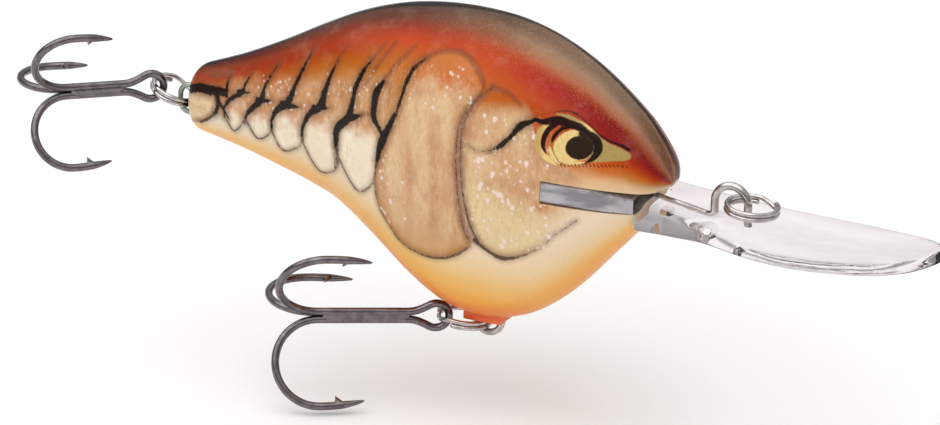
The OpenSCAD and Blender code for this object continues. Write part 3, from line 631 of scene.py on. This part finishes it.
def speckles():
    """Pale speckles on the plates, from fixed random draws: (x, z, radius)."""
    rng = np.random.default_rng(17)
    out = []
    for _ in range(150):
        out.append((rng.uniform(-27.8, -18.5), rng.uniform(-7.0, 8.0), 0.07 + 0.22 * rng.random() ** 2))
    for count, xs, zs, radii in ((26, (-36.5, -28.8), (7.5, 12.8), (0.06, 0.18)),
                                 (22, (-40.0, -36.5), (-7.5, 1.0), (0.08, 0.22))):
        out += [(rng.uniform(*xs), rng.uniform(*zs), rng.uniform(*radii)) for _ in range(count)]
    for _ in range(70):
        x = rng.uniform(-59, -40.5)
        out.append((x, scale_row(x) + rng.uniform(0.9, 5.2), rng.uniform(0.05, 0.15)))
    return out


def write_field(mesh, name, values):
    if values.ndim == 2:
        layer = mesh.attributes.new(name, "FLOAT_COLOR", "POINT")
        rgba = np.concatenate([values, np.ones((len(values), 1))], axis=1)
        layer.data.foreach_set("color", rgba.astype(np.float32).ravel())
    else:
        layer = mesh.attributes.new(name, "FLOAT", "POINT")
        layer.data.foreach_set("value", values.astype(np.float32))


def paint_mesh(obj):
    mesh = obj.data
    co = np.empty(len(mesh.vertices) * 3, np.float32)
    mesh.vertices.foreach_get("co", co)
    co = co.reshape(-1, 3).astype(float) / MM
    q = co[:, [0, 2]]
    x = np.clip(co[:, 0], TAIL_X, NOSE_X)
    up = (co[:, 2] - smooth_curve(BELLY_LINE, x)) / (2 * body_half_h(x) + 2 * tail_cut(x))
    base, ink, lines, dots, gold, glint, eye, ridge, gold_tint, mottle = paint(q, up, co[:, 1])
    depth = flank_y(x, co[:, 2]) - np.abs(co[:, 1])
    in_slot = ((co[:, 0] > LIP_BACK_X - 0.2) & (depth > 0.03)
               & (co[:, 2] < slot_height(SLOT_TOP, x) + 0.02)
               & (co[:, 2] > slot_height(SLOT_FLOOR, x) - JAW_ROOM))
    inner = step_up(0.02, 0.06, depth) * in_slot
    base = layer(base, SLOT_GREY, inner)
    # Metallic flakes near the head's top, only in the painted reflection band: the flakes are real, their
    # pale glint is painted light.
    flake_glint = step_up(0.82, 0.97, up) * step_up(-46, -20, co[:, 0])
    for name, values in (("ink", ink), ("lines", lines), ("dots", dots), ("gold", gold), ("eye", eye)):
        write_field(mesh, name, values + CLEAR_OFF * inner)
    for name, values in (("base", base), ("glint", glint), ("ridge", ridge), ("gold_tint", gold_tint),
                         ("mottle", mottle * (1 - inner)), ("flake_glint", flake_glint * (1 - inner))):
        write_field(mesh, name, values)


# ---------------------------------------------------------------- materials
class Nodes:
    """Shorthand for building a node material."""

    def __init__(self, name):
        self.mat = bpy.data.materials.new(name)
        self.mat.use_nodes = True
        self.tree = self.mat.node_tree
        self.shader = self.tree.nodes["Principled BSDF"]
        self.coord = self.tree.nodes.new("ShaderNodeTexCoord")

    def add(self, kind, **values):
        node = self.tree.nodes.new(kind)
        for key, value in values.items():
            setattr(node, key, value)
        return node

    def put(self, socket, value):
        if isinstance(value, bpy.types.NodeSocket):
            self.tree.links.new(value, socket)
        else:
            socket.default_value = value

    def math(self, op, a, b):
        node = self.add("ShaderNodeMath", operation=op)
        self.put(node.inputs[0], a)
        self.put(node.inputs[1], b)
        return node.outputs[0]

    def noise(self, scale, detail=3.0, rough=0.55, stretch=(1, 1, 1)):
        turn = self.add("ShaderNodeMapping")
        turn.inputs["Scale"].default_value = stretch
        self.put(turn.inputs["Vector"], self.coord.outputs["Object"])
        node = self.add("ShaderNodeTexNoise")
        node.inputs["Scale"].default_value = scale
        node.inputs["Detail"].default_value = detail
        node.inputs["Roughness"].default_value = rough
        self.put(node.inputs["Vector"], turn.outputs[0])
        return node.outputs["Fac"]

    def cells(self, scale):
        node = self.add("ShaderNodeTexVoronoi")
        node.inputs["Scale"].default_value = scale
        self.put(node.inputs["Vector"], self.coord.outputs["Object"])
        return node.outputs["Distance"]

    def field(self, name, output="Fac"):
        return self.add("ShaderNodeAttribute", attribute_name=name).outputs[output]

    def ramp(self, value, low, high, out_low=0.0, out_high=1.0):
        node = self.add("ShaderNodeMapRange", interpolation_type="SMOOTHSTEP")
        self.put(node.inputs["Value"], value)
        for key, v in (("From Min", low), ("From Max", high), ("To Min", out_low), ("To Max", out_high)):
            node.inputs[key].default_value = v
        return node.outputs[0]

    def mix(self, amount, a, b):
        node = self.add("ShaderNodeMix", data_type="RGBA")
        self.put(node.inputs[0], amount)
        self.put(node.inputs[6], a if isinstance(a, bpy.types.NodeSocket) else (*a, 1))
        self.put(node.inputs[7], b if isinstance(b, bpy.types.NodeSocket) else (*b, 1))
        return node.outputs[2]

    def bump(self, height, strength, distance):
        node = self.add("ShaderNodeBump")
        node.inputs["Strength"].default_value = strength
        node.inputs["Distance"].default_value = distance
        self.put(node.inputs["Height"], height)
        self.put(self.shader.inputs["Normal"], node.outputs[0])

    def set(self, **values):
        for key, value in values.items():
            self.put(self.shader.inputs[key.replace("_", " ")], value)


# Printed marks from the lowest up: field, colour (None: the eye's gold), softness, strength, raggedness
MARKS = [("dots", (238, 216, 208), 0.08, 0.85, 0.5), ("lines", (58, 36, 26), 0.09, 0.85, 0.8),
         ("ink", (16, 11, 9), 0.09, 0.97, 1.0), ("gold", None, 0.08, 1.0, 0.4),
         ("glint", (196, 84, 38), 0.06, 0.9, 0.4), ("eye", (24, 6, 8), 0.07, 0.98, 0.35),
         ("ridge", (20, 9, 7), 0.25, 0.98, 0.8)]


def lacquer_material():
    n = Nodes("lacquer")
    fine, broad = n.noise(2600, 4, 0.6), n.noise(420, 4, 0.6)
    coarse_rag = n.math("MULTIPLY", n.math("SUBTRACT", n.noise(1900, 5, 0.7), 0.5), 0.45)
    rag = n.math("ADD", coarse_rag, n.math("MULTIPLY", n.math("SUBTRACT", n.noise(7000, 3, 0.6), 0.5), 0.38))
    colour = n.field("base", "Color")
    colour = n.mix(n.ramp(broad, 0.48, 0.75, 0.0, 0.05), colour, srgb(255, 238, 206))
    colour = n.mix(n.ramp(fine, 0.56, 0.80, 0.0, 0.14), colour, srgb(110, 58, 38))

    patch = n.field("mottle")
    streaks, blots = n.noise(2600, 5, 0.7, (1, 1, 0.35)), n.noise(1500, 4, 0.65)
    flecks = ((streaks, 0.50, 0.70, 0.30, srgb(240, 214, 178)),
              (streaks, 0.48, 0.32, 0.26, srgb(150, 98, 66)),
              (blots, 0.58, 0.68, 0.24, srgb(232, 204, 182)))
    for texture, low, high, amount, tint in flecks:
        colour = n.mix(n.math("MULTIPLY", patch, n.ramp(texture, low, high, 0.0, amount)), colour, tint)
    gold = n.mix(n.ramp(n.noise(2400, 4, 0.7), 0.50, 0.75, 0.0, 0.35), n.field("gold_tint", "Color"),
                 srgb(120, 92, 48))
    for name, rgb, soft, strength, ragged in MARKS:
        dist = n.math("ADD", n.field(name), n.math("MULTIPLY", rag, ragged))
        colour = n.mix(n.ramp(dist, -soft, soft, strength, 0.0), colour, srgb(*rgb) if rgb else gold)
    # Pale flake specks: real flakes, with their glint painted into the colour.
    spark = n.math("MULTIPLY", n.ramp(n.cells(6500), 0.16, 0.42, 1.0, 0.0), n.field("flake_glint"))
    pick = n.ramp(n.noise(3800, 3, 0.6), 0.46, 0.64, 0.0, 0.6)
    colour = n.mix(n.math("MULTIPLY", spark, pick), colour, srgb(222, 176, 118))
    n.set(Base_Color=colour, IOR=1.5, Specular_IOR_Level=0.06)
    n.set(Roughness=n.ramp(broad, 0.3, 0.7, 0.38, 0.50))
    n.set(Coat_Weight=0.3, Coat_Roughness=0.06, Coat_IOR=1.4)
    n.bump(n.noise(900, 3, 0.5), 0.04, 0.0002)
    return n.mat


def clear_plastic_material():
    n = Nodes("clear_plastic")
    haze = n.noise(260, 5, 0.6, (0.35, 1, 1))
    n.set(Base_Color=n.mix(n.ramp(haze, 0.35, 0.75), srgb(247, 241, 242), srgb(232, 223, 226)))
    n.set(Roughness=n.ramp(n.noise(700, 4, 0.6), 0.3, 0.8, 0.02, 0.12))
    n.set(IOR=1.15, Transmission_Weight=1.0)
    n.bump(n.noise(180, 4, 0.5, (0.3, 1, 1)), 0.16, 0.0006)
    return n.mat


def slot_tongue_material():
    # The lip's tongue inside the slot: greyer, rougher and far less clear than the paddle outside it.
    n = Nodes("slot_tongue")
    streak = n.noise(520, 4, 0.6, (0.25, 1, 1.2))
    n.set(Base_Color=n.mix(n.ramp(streak, 0.40, 0.62), srgb(150, 142, 148), srgb(206, 200, 204)))
    n.set(Roughness=n.ramp(n.noise(900, 3), 0.3, 0.7, 0.25, 0.45))
    n.set(IOR=1.46, Transmission_Weight=0.25)
    n.bump(n.noise(1200, 4, 0.6, (0.3, 1, 1)), 0.12, 0.0002)
    return n.mat


def metal_material(name, light, dark, rough, scratch, grain=900, metal=1.0):
    n = Nodes(name)
    wear = n.noise(grain, 5, 0.65)
    n.set(Base_Color=n.mix(n.ramp(wear, 0.35, 0.65), dark, light), Metallic=metal)
    n.set(Roughness=n.ramp(n.noise(grain * 1.7, 4, 0.6), 0.3, 0.75, rough, rough + 0.14))
    n.bump(n.noise(grain * 3, 4, 0.6), scratch, 0.00005)
    return n.mat


def plain_plastic_material(name, light, dark):
    n = Nodes(name)
    n.set(Base_Color=n.mix(n.ramp(n.noise(300, 4), 0.3, 0.7), dark, light))
    n.set(Roughness=n.ramp(n.noise(900, 3), 0.3, 0.7, 0.35, 0.55))
    n.bump(n.noise(2400, 3), 0.08, 0.0001)
    return n.mat


# ---------------------------------------------------------------- wire parts
RING_WIRE, TIE_WIRE, HANGER_WIRE, TAIL_WIRE, HOOK_WIRE = 0.56, 0.95, 0.8, 0.62, 0.92
COIL_RISE = RING_WIRE + 0.02
# The drawn wire is this much thinner than the CAD wire, so it stays inside it
ROUND_FIT, BAR_FIT = 0.99, 0.995


def split_ring(name, centre, x_way, up_way, d, gap_at):
    a = np.radians(np.linspace(23, 697, 220))
    deg = np.degrees(a)
    r = (d - RING_WIRE) / 2
    rise = COIL_RISE * (np.clip((deg - 340) / 40, 0, 1) - 0.5)
    turn = math.radians(gap_at)
    y_way = np.cross(up_way, x_way)
    path = (np.asarray(centre) + (r * np.cos(a + turn))[:, None] * x_way
            + (r * np.sin(a + turn))[:, None] * y_way + rise[:, None] * np.asarray(up_way))
    radius = np.full(len(a), RING_WIRE / 2 * ROUND_FIT)
    radius[[0, -1]] *= 0.7
    verts, faces = sweep(path, radius, up_way, 18)
    return mesh_object(name, verts, faces, sharp_deg=50)


def arc_points(centre, r, start, turn, steps=24):
    a = np.radians(np.linspace(start, start + turn, steps))
    return [(centre[0] + r * math.cos(t), 0.0, centre[1] + r * math.sin(t)) for t in a]


def bar_piece(name, path, d):
    verts, faces = sweep(resampled(path), d / 2 * BAR_FIT, (0, 1, 0))
    return mesh_object(name, verts, faces, sharp_deg=50)


# ---------------------------------------------------------------- hooks
EYE_R, EYE_GRIP = 1.5, 0.42
SHANK_RHO = (HOOK_WIRE + 0.04) / math.sqrt(3)
SHANK_HALF = (HOOK_WIRE + 0.04) / 2
HOOK_R = HOOK_WIRE / 2 * ROUND_FIT
BARB_RISE, BEND_STEPS, LEAD_STEPS = 0.72, 70, 30


def spoke(way, up, deg):
    a = math.radians(deg)
    return math.cos(a) * up + math.sin(a) * np.cross(way, up)


def bend(length, reach):
    """The bend's radius, and how far down the shank it starts."""
    r = (reach - SHANK_RHO - HOOK_WIRE / 2) / 2
    return r, length - (EYE_R + HOOK_WIRE / 2) - HOOK_WIRE / 2 - r


def hook_arm(eye, way, up, deg, length, reach):
    """Path, radii, barb heights and barb side of one hook, from the shank to the point."""
    br, bend_s = bend(length, reach)
    spear = br * 1.04
    a = np.radians(np.linspace(0, 180, BEND_STEPS))
    q = np.concatenate([np.linspace(0, 0.33, 12)[1:], np.linspace(0.34, 0.56, 26), np.linspace(0.6, 1, 14)])
    rho = np.concatenate([SHANK_RHO + br - br * np.cos(a), SHANK_RHO + 2 * br - 0.12 * spear * q * q])
    s = np.concatenate([bend_s + br * np.sin(a), bend_s - spear * q])
    out = spoke(way, up, deg)
    path = eye + rho[:, None] * out + s[:, None] * way
    taper = np.where(q < 0.5, 1, np.sqrt(np.clip(1.02 - q, 0, 1) / 0.52))
    radius = np.concatenate([np.full(BEND_STEPS, HOOK_R), HOOK_R * taper])
    rise = np.clip((q - 0.355) / 0.02, 0, 1) * np.clip((0.53 - q) / 0.155, 0, 1)
    fin = np.concatenate([np.zeros(BEND_STEPS), BARB_RISE * rise])
    return path, radius, fin, np.repeat(-out[None], len(path), axis=0)


def eye_half(sign):
    a = np.radians(np.arange(0, 121, 7.5))
    ring = [(-EYE_R * math.cos(t), sign * EYE_R * math.sin(t)) for t in a]
    return ring + [(1.35, sign * 0.98), (2.0, sign * 0.7), (2.6, sign * 0.53), (3.3, sign * SHANK_HALF),
                   (4.2, sign * SHANK_HALF)]


def double_hook(name, eye, way, up, length, reach):
    across = unit(spoke(way, up, 0) - spoke(way, up, 120))
    mid = eye + SHANK_RHO / 2 * (spoke(way, up, 0) + spoke(way, up, 120))
    loop = eye_half(1)[::-1] + eye_half(-1)[1:]
    loop = resampled([mid + s * way + t * across for s, t in loop])
    arm_a, arm_b = hook_arm(eye, way, up, 0, length, reach), hook_arm(eye, way, up, 120, length, reach)
    path = np.vstack([arm_a[0][::-1], loop, arm_b[0]])
    radius = np.concatenate([arm_a[1][::-1], np.full(len(loop), HOOK_R), arm_b[1]])
    fin = np.concatenate([arm_a[2][::-1], np.zeros(len(loop)), arm_b[2]])
    ways = np.vstack([arm_a[3][::-1], np.repeat(arm_a[3][:1], len(loop), axis=0), arm_b[3]])
    verts, faces = sweep(path, radius, np.cross(way, spoke(way, up, 0)), 24, fin, ways)
    return mesh_object(name, verts, faces, sharp_deg=40)


def single_hook(name, eye, way, up, length, reach):
    path, radius, fin, ways = hook_arm(eye, way, up, 240, length, reach)
    start = eye + SHANK_RHO * spoke(way, up, 240) + 3.4 * way
    lead = start + np.linspace(0, 1, LEAD_STEPS, endpoint=False)[:, None] * (path[0] - start)
    path = np.vstack([lead, path])
    radius = np.concatenate([np.full(LEAD_STEPS, HOOK_R), radius])
    radius[:3] *= [0.3, 0.7, 0.95]
    fin = np.concatenate([np.zeros(LEAD_STEPS), fin])
    ways = np.vstack([np.repeat(ways[:1], LEAD_STEPS, axis=0), ways])
    verts, faces = sweep(path, radius, np.cross(way, ways[0]), 24, fin, ways)
    return mesh_object(name, verts, faces, sharp_deg=40)


def braze_piece(name, eye, way, up, length, reach):
    """The braze that fills the grooves between the three shank wires."""
    first, last, sides = 2.9, bend(length, reach)[1] - 0.4, 36
    s = np.linspace(first, last, 60)
    ease = np.clip((s - first) / 0.8, 0, 1) * np.clip((last - s) / 0.6, 0, 1)
    rings = []
    for at, full in zip(s, ease):
        for k in range(sides):
            deg = 360 * k / sides
            off = (deg + 60) % 120 - 60
            r = SHANK_RHO * math.cos(math.radians(off)) + math.sqrt(
                max((HOOK_WIRE / 2) ** 2 - (SHANK_RHO * math.sin(math.radians(off))) ** 2, 0.0))
            r = max(r, 0.80 * (SHANK_RHO + HOOK_WIRE / 2)) * (0.55 + 0.42 * math.sqrt(full))
            rings.append(eye + at * way + r * spoke(way, up, deg))
    return mesh_object(name, rings, skin_faces(len(s), sides), sharp_deg=50)


# ---------------------------------------------------------------- lip
LIP_POINTS, TONGUE_RINGS, PADDLE_RINGS = 72, 30, 90
LIP_DISH, LIP_DISH_HALF_W = 0.35, 5.2


def lip_section(x, half_w, top, under, edge, dish):
    """A ring of the lip: nearly square where edge is large, dished on top by dish."""
    a = 2 * np.pi * np.arange(LIP_POINTS) / LIP_POINTS
    c, s = np.cos(a), np.sin(a)
    y = half_w * np.sign(c) * np.abs(c) ** (2 / edge)
    f = np.sign(s) * np.abs(s) ** (2 / edge)
    d = np.where(f > 0, dish * np.clip(1 - (y / LIP_DISH_HALF_W) ** 2, 0, 1) ** 2 * f, 0)
    return np.stack([np.full(LIP_POINTS, x), y, (top + under) / 2 + f * (top - under) / 2 - d], axis=1)


def lip_piece():
    rings = []
    for x in np.linspace(LIP_BACK_X, JAW_X - 0.1, TONGUE_RINGS):
        under = slot_height(SLOT_FLOOR, x) + SLOT_GAP
        top = min(float(smooth_curve(LIP_TOP, x)), slot_height(SLOT_TOP, x) - SLOT_GAP)
        rings.append(lip_section(x, float(flank_y(x, (top + under) / 2)) - 0.08, top, under, 12, 0))
    paddle_x = JAW_X + 0.08
    for t in np.arange(PADDLE_RINGS) / (PADDLE_RINGS - 1):
        x = paddle_x + (LIP_TIP_X - paddle_x) * (1 - (1 - t) ** 1.35)
        fade = min(max((x - 1) / 5, 0), 1) * min(max((24 - x) / 6, 0), 1)
        edge = 7 + (4 - 7) * min(max((x - JAW_X) / 12, 0), 1)
        rings.append(lip_section(x, float(smooth_curve(LIP_PLAN, x)), float(smooth_curve(LIP_TOP, x)),
                                 float(smooth_curve(LIP_UNDER, x)), edge, LIP_DISH * fade))
    return mesh_object("lip_clear", np.vstack(rings), skin_faces(len(rings), LIP_POINTS), sharp_deg=40)


# ---------------------------------------------------------------- stage and light
FLOOR_DROP = 0.0006


def make_stage():
    low = CAD_BOX[0][2] - FLOOR_DROP
    bpy.ops.mesh.primitive_plane_add(size=12, location=(0, 0, low))
    floor = bpy.context.object
    floor.name = "floor"
    n = Nodes("floor")
    n.set(Base_Color=n.mix(n.ramp(n.noise(3, 2), 0.3, 0.7), (0.90, 0.90, 0.90), (0.92, 0.92, 0.92)))
    n.set(Roughness=0.9)
    floor.data.materials.append(n.mat)
    bpy.context.scene.world = studio_world()
    bpy.context.scene.view_settings.view_transform = "Standard"


def studio_world():
    """Soft white overhead light that falls off towards the horizon."""
    world = bpy.data.worlds.new("studio")
    world.use_nodes = True
    tree = world.node_tree
    coord = tree.nodes.new("ShaderNodeTexCoord")
    split = tree.nodes.new("ShaderNodeSeparateXYZ")
    fall = tree.nodes.new("ShaderNodeMapRange")
    fall.interpolation_type = "SMOOTHSTEP"
    for key, value in (("From Min", 0.15), ("From Max", 0.75), ("To Min", 0.30), ("To Max", 0.86)):
        fall.inputs[key].default_value = value
    tree.links.new(coord.outputs["Generated"], split.inputs[0])
    tree.links.new(split.outputs["Z"], fall.inputs["Value"])
    tree.links.new(fall.outputs[0], tree.nodes["Background"].inputs["Strength"])
    tree.nodes["Background"].inputs["Color"].default_value = (1, 1, 1, 1)
    return world


def sun_light(name, place, strength, soft_deg):
    data = bpy.data.lights.new(name, "SUN")
    data.energy, data.angle = strength, math.radians(soft_deg)
    light = bpy.data.objects.new(name, data)
    light.rotation_euler = (-Vector(place)).to_track_quat("-Z", "Y").to_euler()
    bpy.context.collection.objects.link(light)


def make_lights():
    sun_light("key", (-0.3, -0.45, 1.0), 1.6, 85)


# ---------------------------------------------------------------- the lure
TIE_TILT, BELLY_TILT, TAIL_TILT, TAIL_TURN = 4.0, 5.0, 20.0, 25.0
TIE_RING_AT = (2.55, 0, -0.12)
TIE_RING_D, BELLY_RING_D, TAIL_RING_D = 6.4, 6.5, 5.8
BELLY_PIVOT, TAIL_PIVOT = np.array([-29.38, 0, -19.7]), np.array([-68.0, 0, -0.15])
# Shank direction, which way the first hook points, length and reach
BELLY_HOOK = (unit((-0.837, -0.547, 0.021)), (0.229, -0.386, -0.894), 20.8, 10.9)
TAIL_HOOK = (unit((-0.765, -0.644, -0.008)), (0.283, -0.428, -0.857), 16.4, 9.4)


def tilted(deg):
    a = math.radians(deg)
    return np.array([-math.cos(a), 0, math.sin(a)]), np.array([math.sin(a), 0, math.cos(a)])


def dress(obj, material, body, slot, *nodes):
    obj.data.materials.clear()
    obj.data.materials.append(material)
    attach(obj, body)
    if nodes:
        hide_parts(*nodes)
    return obj


def build_body(lacquer):
    cutter = slot_cutter()
    for name, side, node in (("right_half_painted", -1, "body_right_half"),
                             ("left_half_painted", 1, "body_left_half")):
        half = cut_half(name, side, cutter)
        paint_mesh(half)
        dress(half, lacquer, "lure_body", "lacquer", node)
    bpy.data.objects.remove(cutter)


def build_rings(chrome):
    tilt = math.radians(TIE_TILT)
    tie = split_ring("line_ring_coil", TIE_RING_AT, np.array([math.cos(tilt), 0, -math.sin(tilt)]),
                     np.array([math.sin(tilt), 0, math.cos(tilt)]), TIE_RING_D, 75)
    dress(tie, chrome, "line_ring_body", "ring_steel", "line_tie_ring")
    rb, rt = (BELLY_RING_D - RING_WIRE) / 2, (TAIL_RING_D - RING_WIRE) / 2
    way, up = tilted(BELLY_TILT)
    belly_c = BELLY_PIVOT + rb * way
    ring = split_ring("belly_ring_coil", belly_c, way, up, BELLY_RING_D, 60)
    dress(ring, chrome, "belly_ring_body", "ring_steel", "belly_ring")
    tail_way, tail_up = tilted(TAIL_TILT)
    turn = math.radians(TAIL_TURN)
    tail_c = TAIL_PIVOT + rt * (math.cos(turn) * tail_way + math.sin(turn) * np.array([0, 1, 0]))
    ring = split_ring("tail_ring_coil", tail_c, tail_way, tail_up, TAIL_RING_D, -80)
    dress(ring, chrome, "tail_ring_body", "ring_steel", "tail_ring")
    return (belly_c, rb, up), (tail_c, rt, tail_up)


def build_treble(prefix, ring, hook, body, nickel):
    centre, r, ring_up = ring
    way, up, length, reach = hook
    up = unit(np.asarray(up) - np.dot(up, way) * way)
    out = unit(way - np.dot(way, ring_up) * ring_up)
    eye = centre + (r + EYE_GRIP) * out
    dress(double_hook(prefix + "_double_wire", eye, way, up, length, reach), nickel, body,
          "black_nickel", prefix + "_double_hook")
    dress(single_hook(prefix + "_single_wire", eye, way, up, length, reach), nickel, body,
          "black_nickel", prefix + "_single_hook")
    dress(braze_piece(prefix + "_braze", eye, way, up, length, reach), nickel, body, "black_nickel")


def build_hangers(bright, coated):
    loop_r, bend_r, run, (run_x, run_z) = 2.03, 1.0, 12.8, (0.985, 0.174)
    tie = ([(loop_r, 0, -2.75), (loop_r, 0, -1.3)] + arc_points((0, 0), loop_r, 0, 180)
           + [(-loop_r, 0, -0.6)] + arc_points((-loop_r - bend_r, -1.2), bend_r, 0, -100, 12)
           + [(-3.2 - run * run_x * t, 0, -2.185 + run * run_z * t) for t in (0.3, 0.6, 1.0)])
    dress(bar_piece("line_tie_bent_wire", tie, TIE_WIRE), bright, "lure_body", "bright_wire",
          "line_tie_wire")
    hx, hr, hz, leg_z, leg_top = -29.38, 1.67, -19.12, -17, -12.5
    belly = ([(hx - hr, 0, leg_top), (hx - hr, 0, leg_z)] + arc_points((hx, hz), hr, 180, 180)
             + [(hx + hr, 0, leg_z), (hx + hr, 0, leg_top)])
    dress(bar_piece("belly_hanger_bent_wire", belly, HANGER_WIRE), bright, "lure_body", "bright_wire",
          "belly_hanger")
    tx, tz, tr, half, leg_x, leg_end = -67.67, 0.4, 1.25, 0.4, -64, -58.5
    high, low = tz + half + tr, tz - half - tr
    tail = ([(leg_end, 0, high), (leg_x, 0, high)] + arc_points((tx, tz + half), tr, 90, 90)
            + arc_points((tx, tz - half), tr, 180, 90) + [(leg_x, 0, low), (leg_end, 0, low)])
    dress(bar_piece("tail_hanger_bent_wire", tail, TAIL_WIRE), coated, "lure_body", "coated_wire",
          "tail_hanger")


def dress_cad_nodes(materials):
    """Materials of the CAD nodes that stay as they are."""
    for node, material in materials.items():
        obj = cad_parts[node]
        obj.data.materials.clear()
        obj.data.materials.append(material)


make_camera()
lacquer = lacquer_material()
clear = clear_plastic_material()
slot_tongue_look = slot_tongue_material()
nickel = metal_material("black_nickel", srgb(126, 118, 120), srgb(102, 95, 97), 0.14, 0.06)
chrome = metal_material("ring_steel", srgb(206, 200, 198), srgb(170, 162, 160), 0.10, 0.06)
bright = metal_material("bright_wire", srgb(202, 198, 194), srgb(160, 154, 150), 0.12, 0.06)
coated = metal_material("coated_wire", srgb(170, 178, 166), srgb(124, 132, 122), 0.28, 0.10, metal=0.7)
lead = plain_plastic_material("painted_foot", tuple(srgb(238, 116, 40)), tuple(srgb(226, 92, 30)))
white_plastic = plain_plastic_material("natural_plastic", (0.8, 0.8, 0.78), (0.7, 0.7, 0.67))
ball = metal_material("ball_steel", srgb(190, 190, 192), srgb(150, 150, 152), 0.15, 0.05)

build_body(lacquer)
lip = dress(lip_piece(), clear, "lure_body", "clear_lip", "diving_lip")
# The tongue inside the slot gets the greyer, less clear material.
lip.data.materials.append(slot_tongue_look)
for face in lip.data.polygons:
    if face.center.x < (JAW_X - 0.2) * MM:
        face.material_index = 1
belly_ring, tail_ring = build_rings(chrome)
build_treble("belly", belly_ring, BELLY_HOOK, "belly_hook", nickel)
build_treble("tail", tail_ring, TAIL_HOOK, "tail_hook", nickel)
build_hangers(bright, coated)
dress_cad_nodes({"belly_weight": lead, "rattle_tube": white_plastic, "rattle_plug": white_plastic,
                 "rattle_balls": ball})
make_stage()
make_lights()
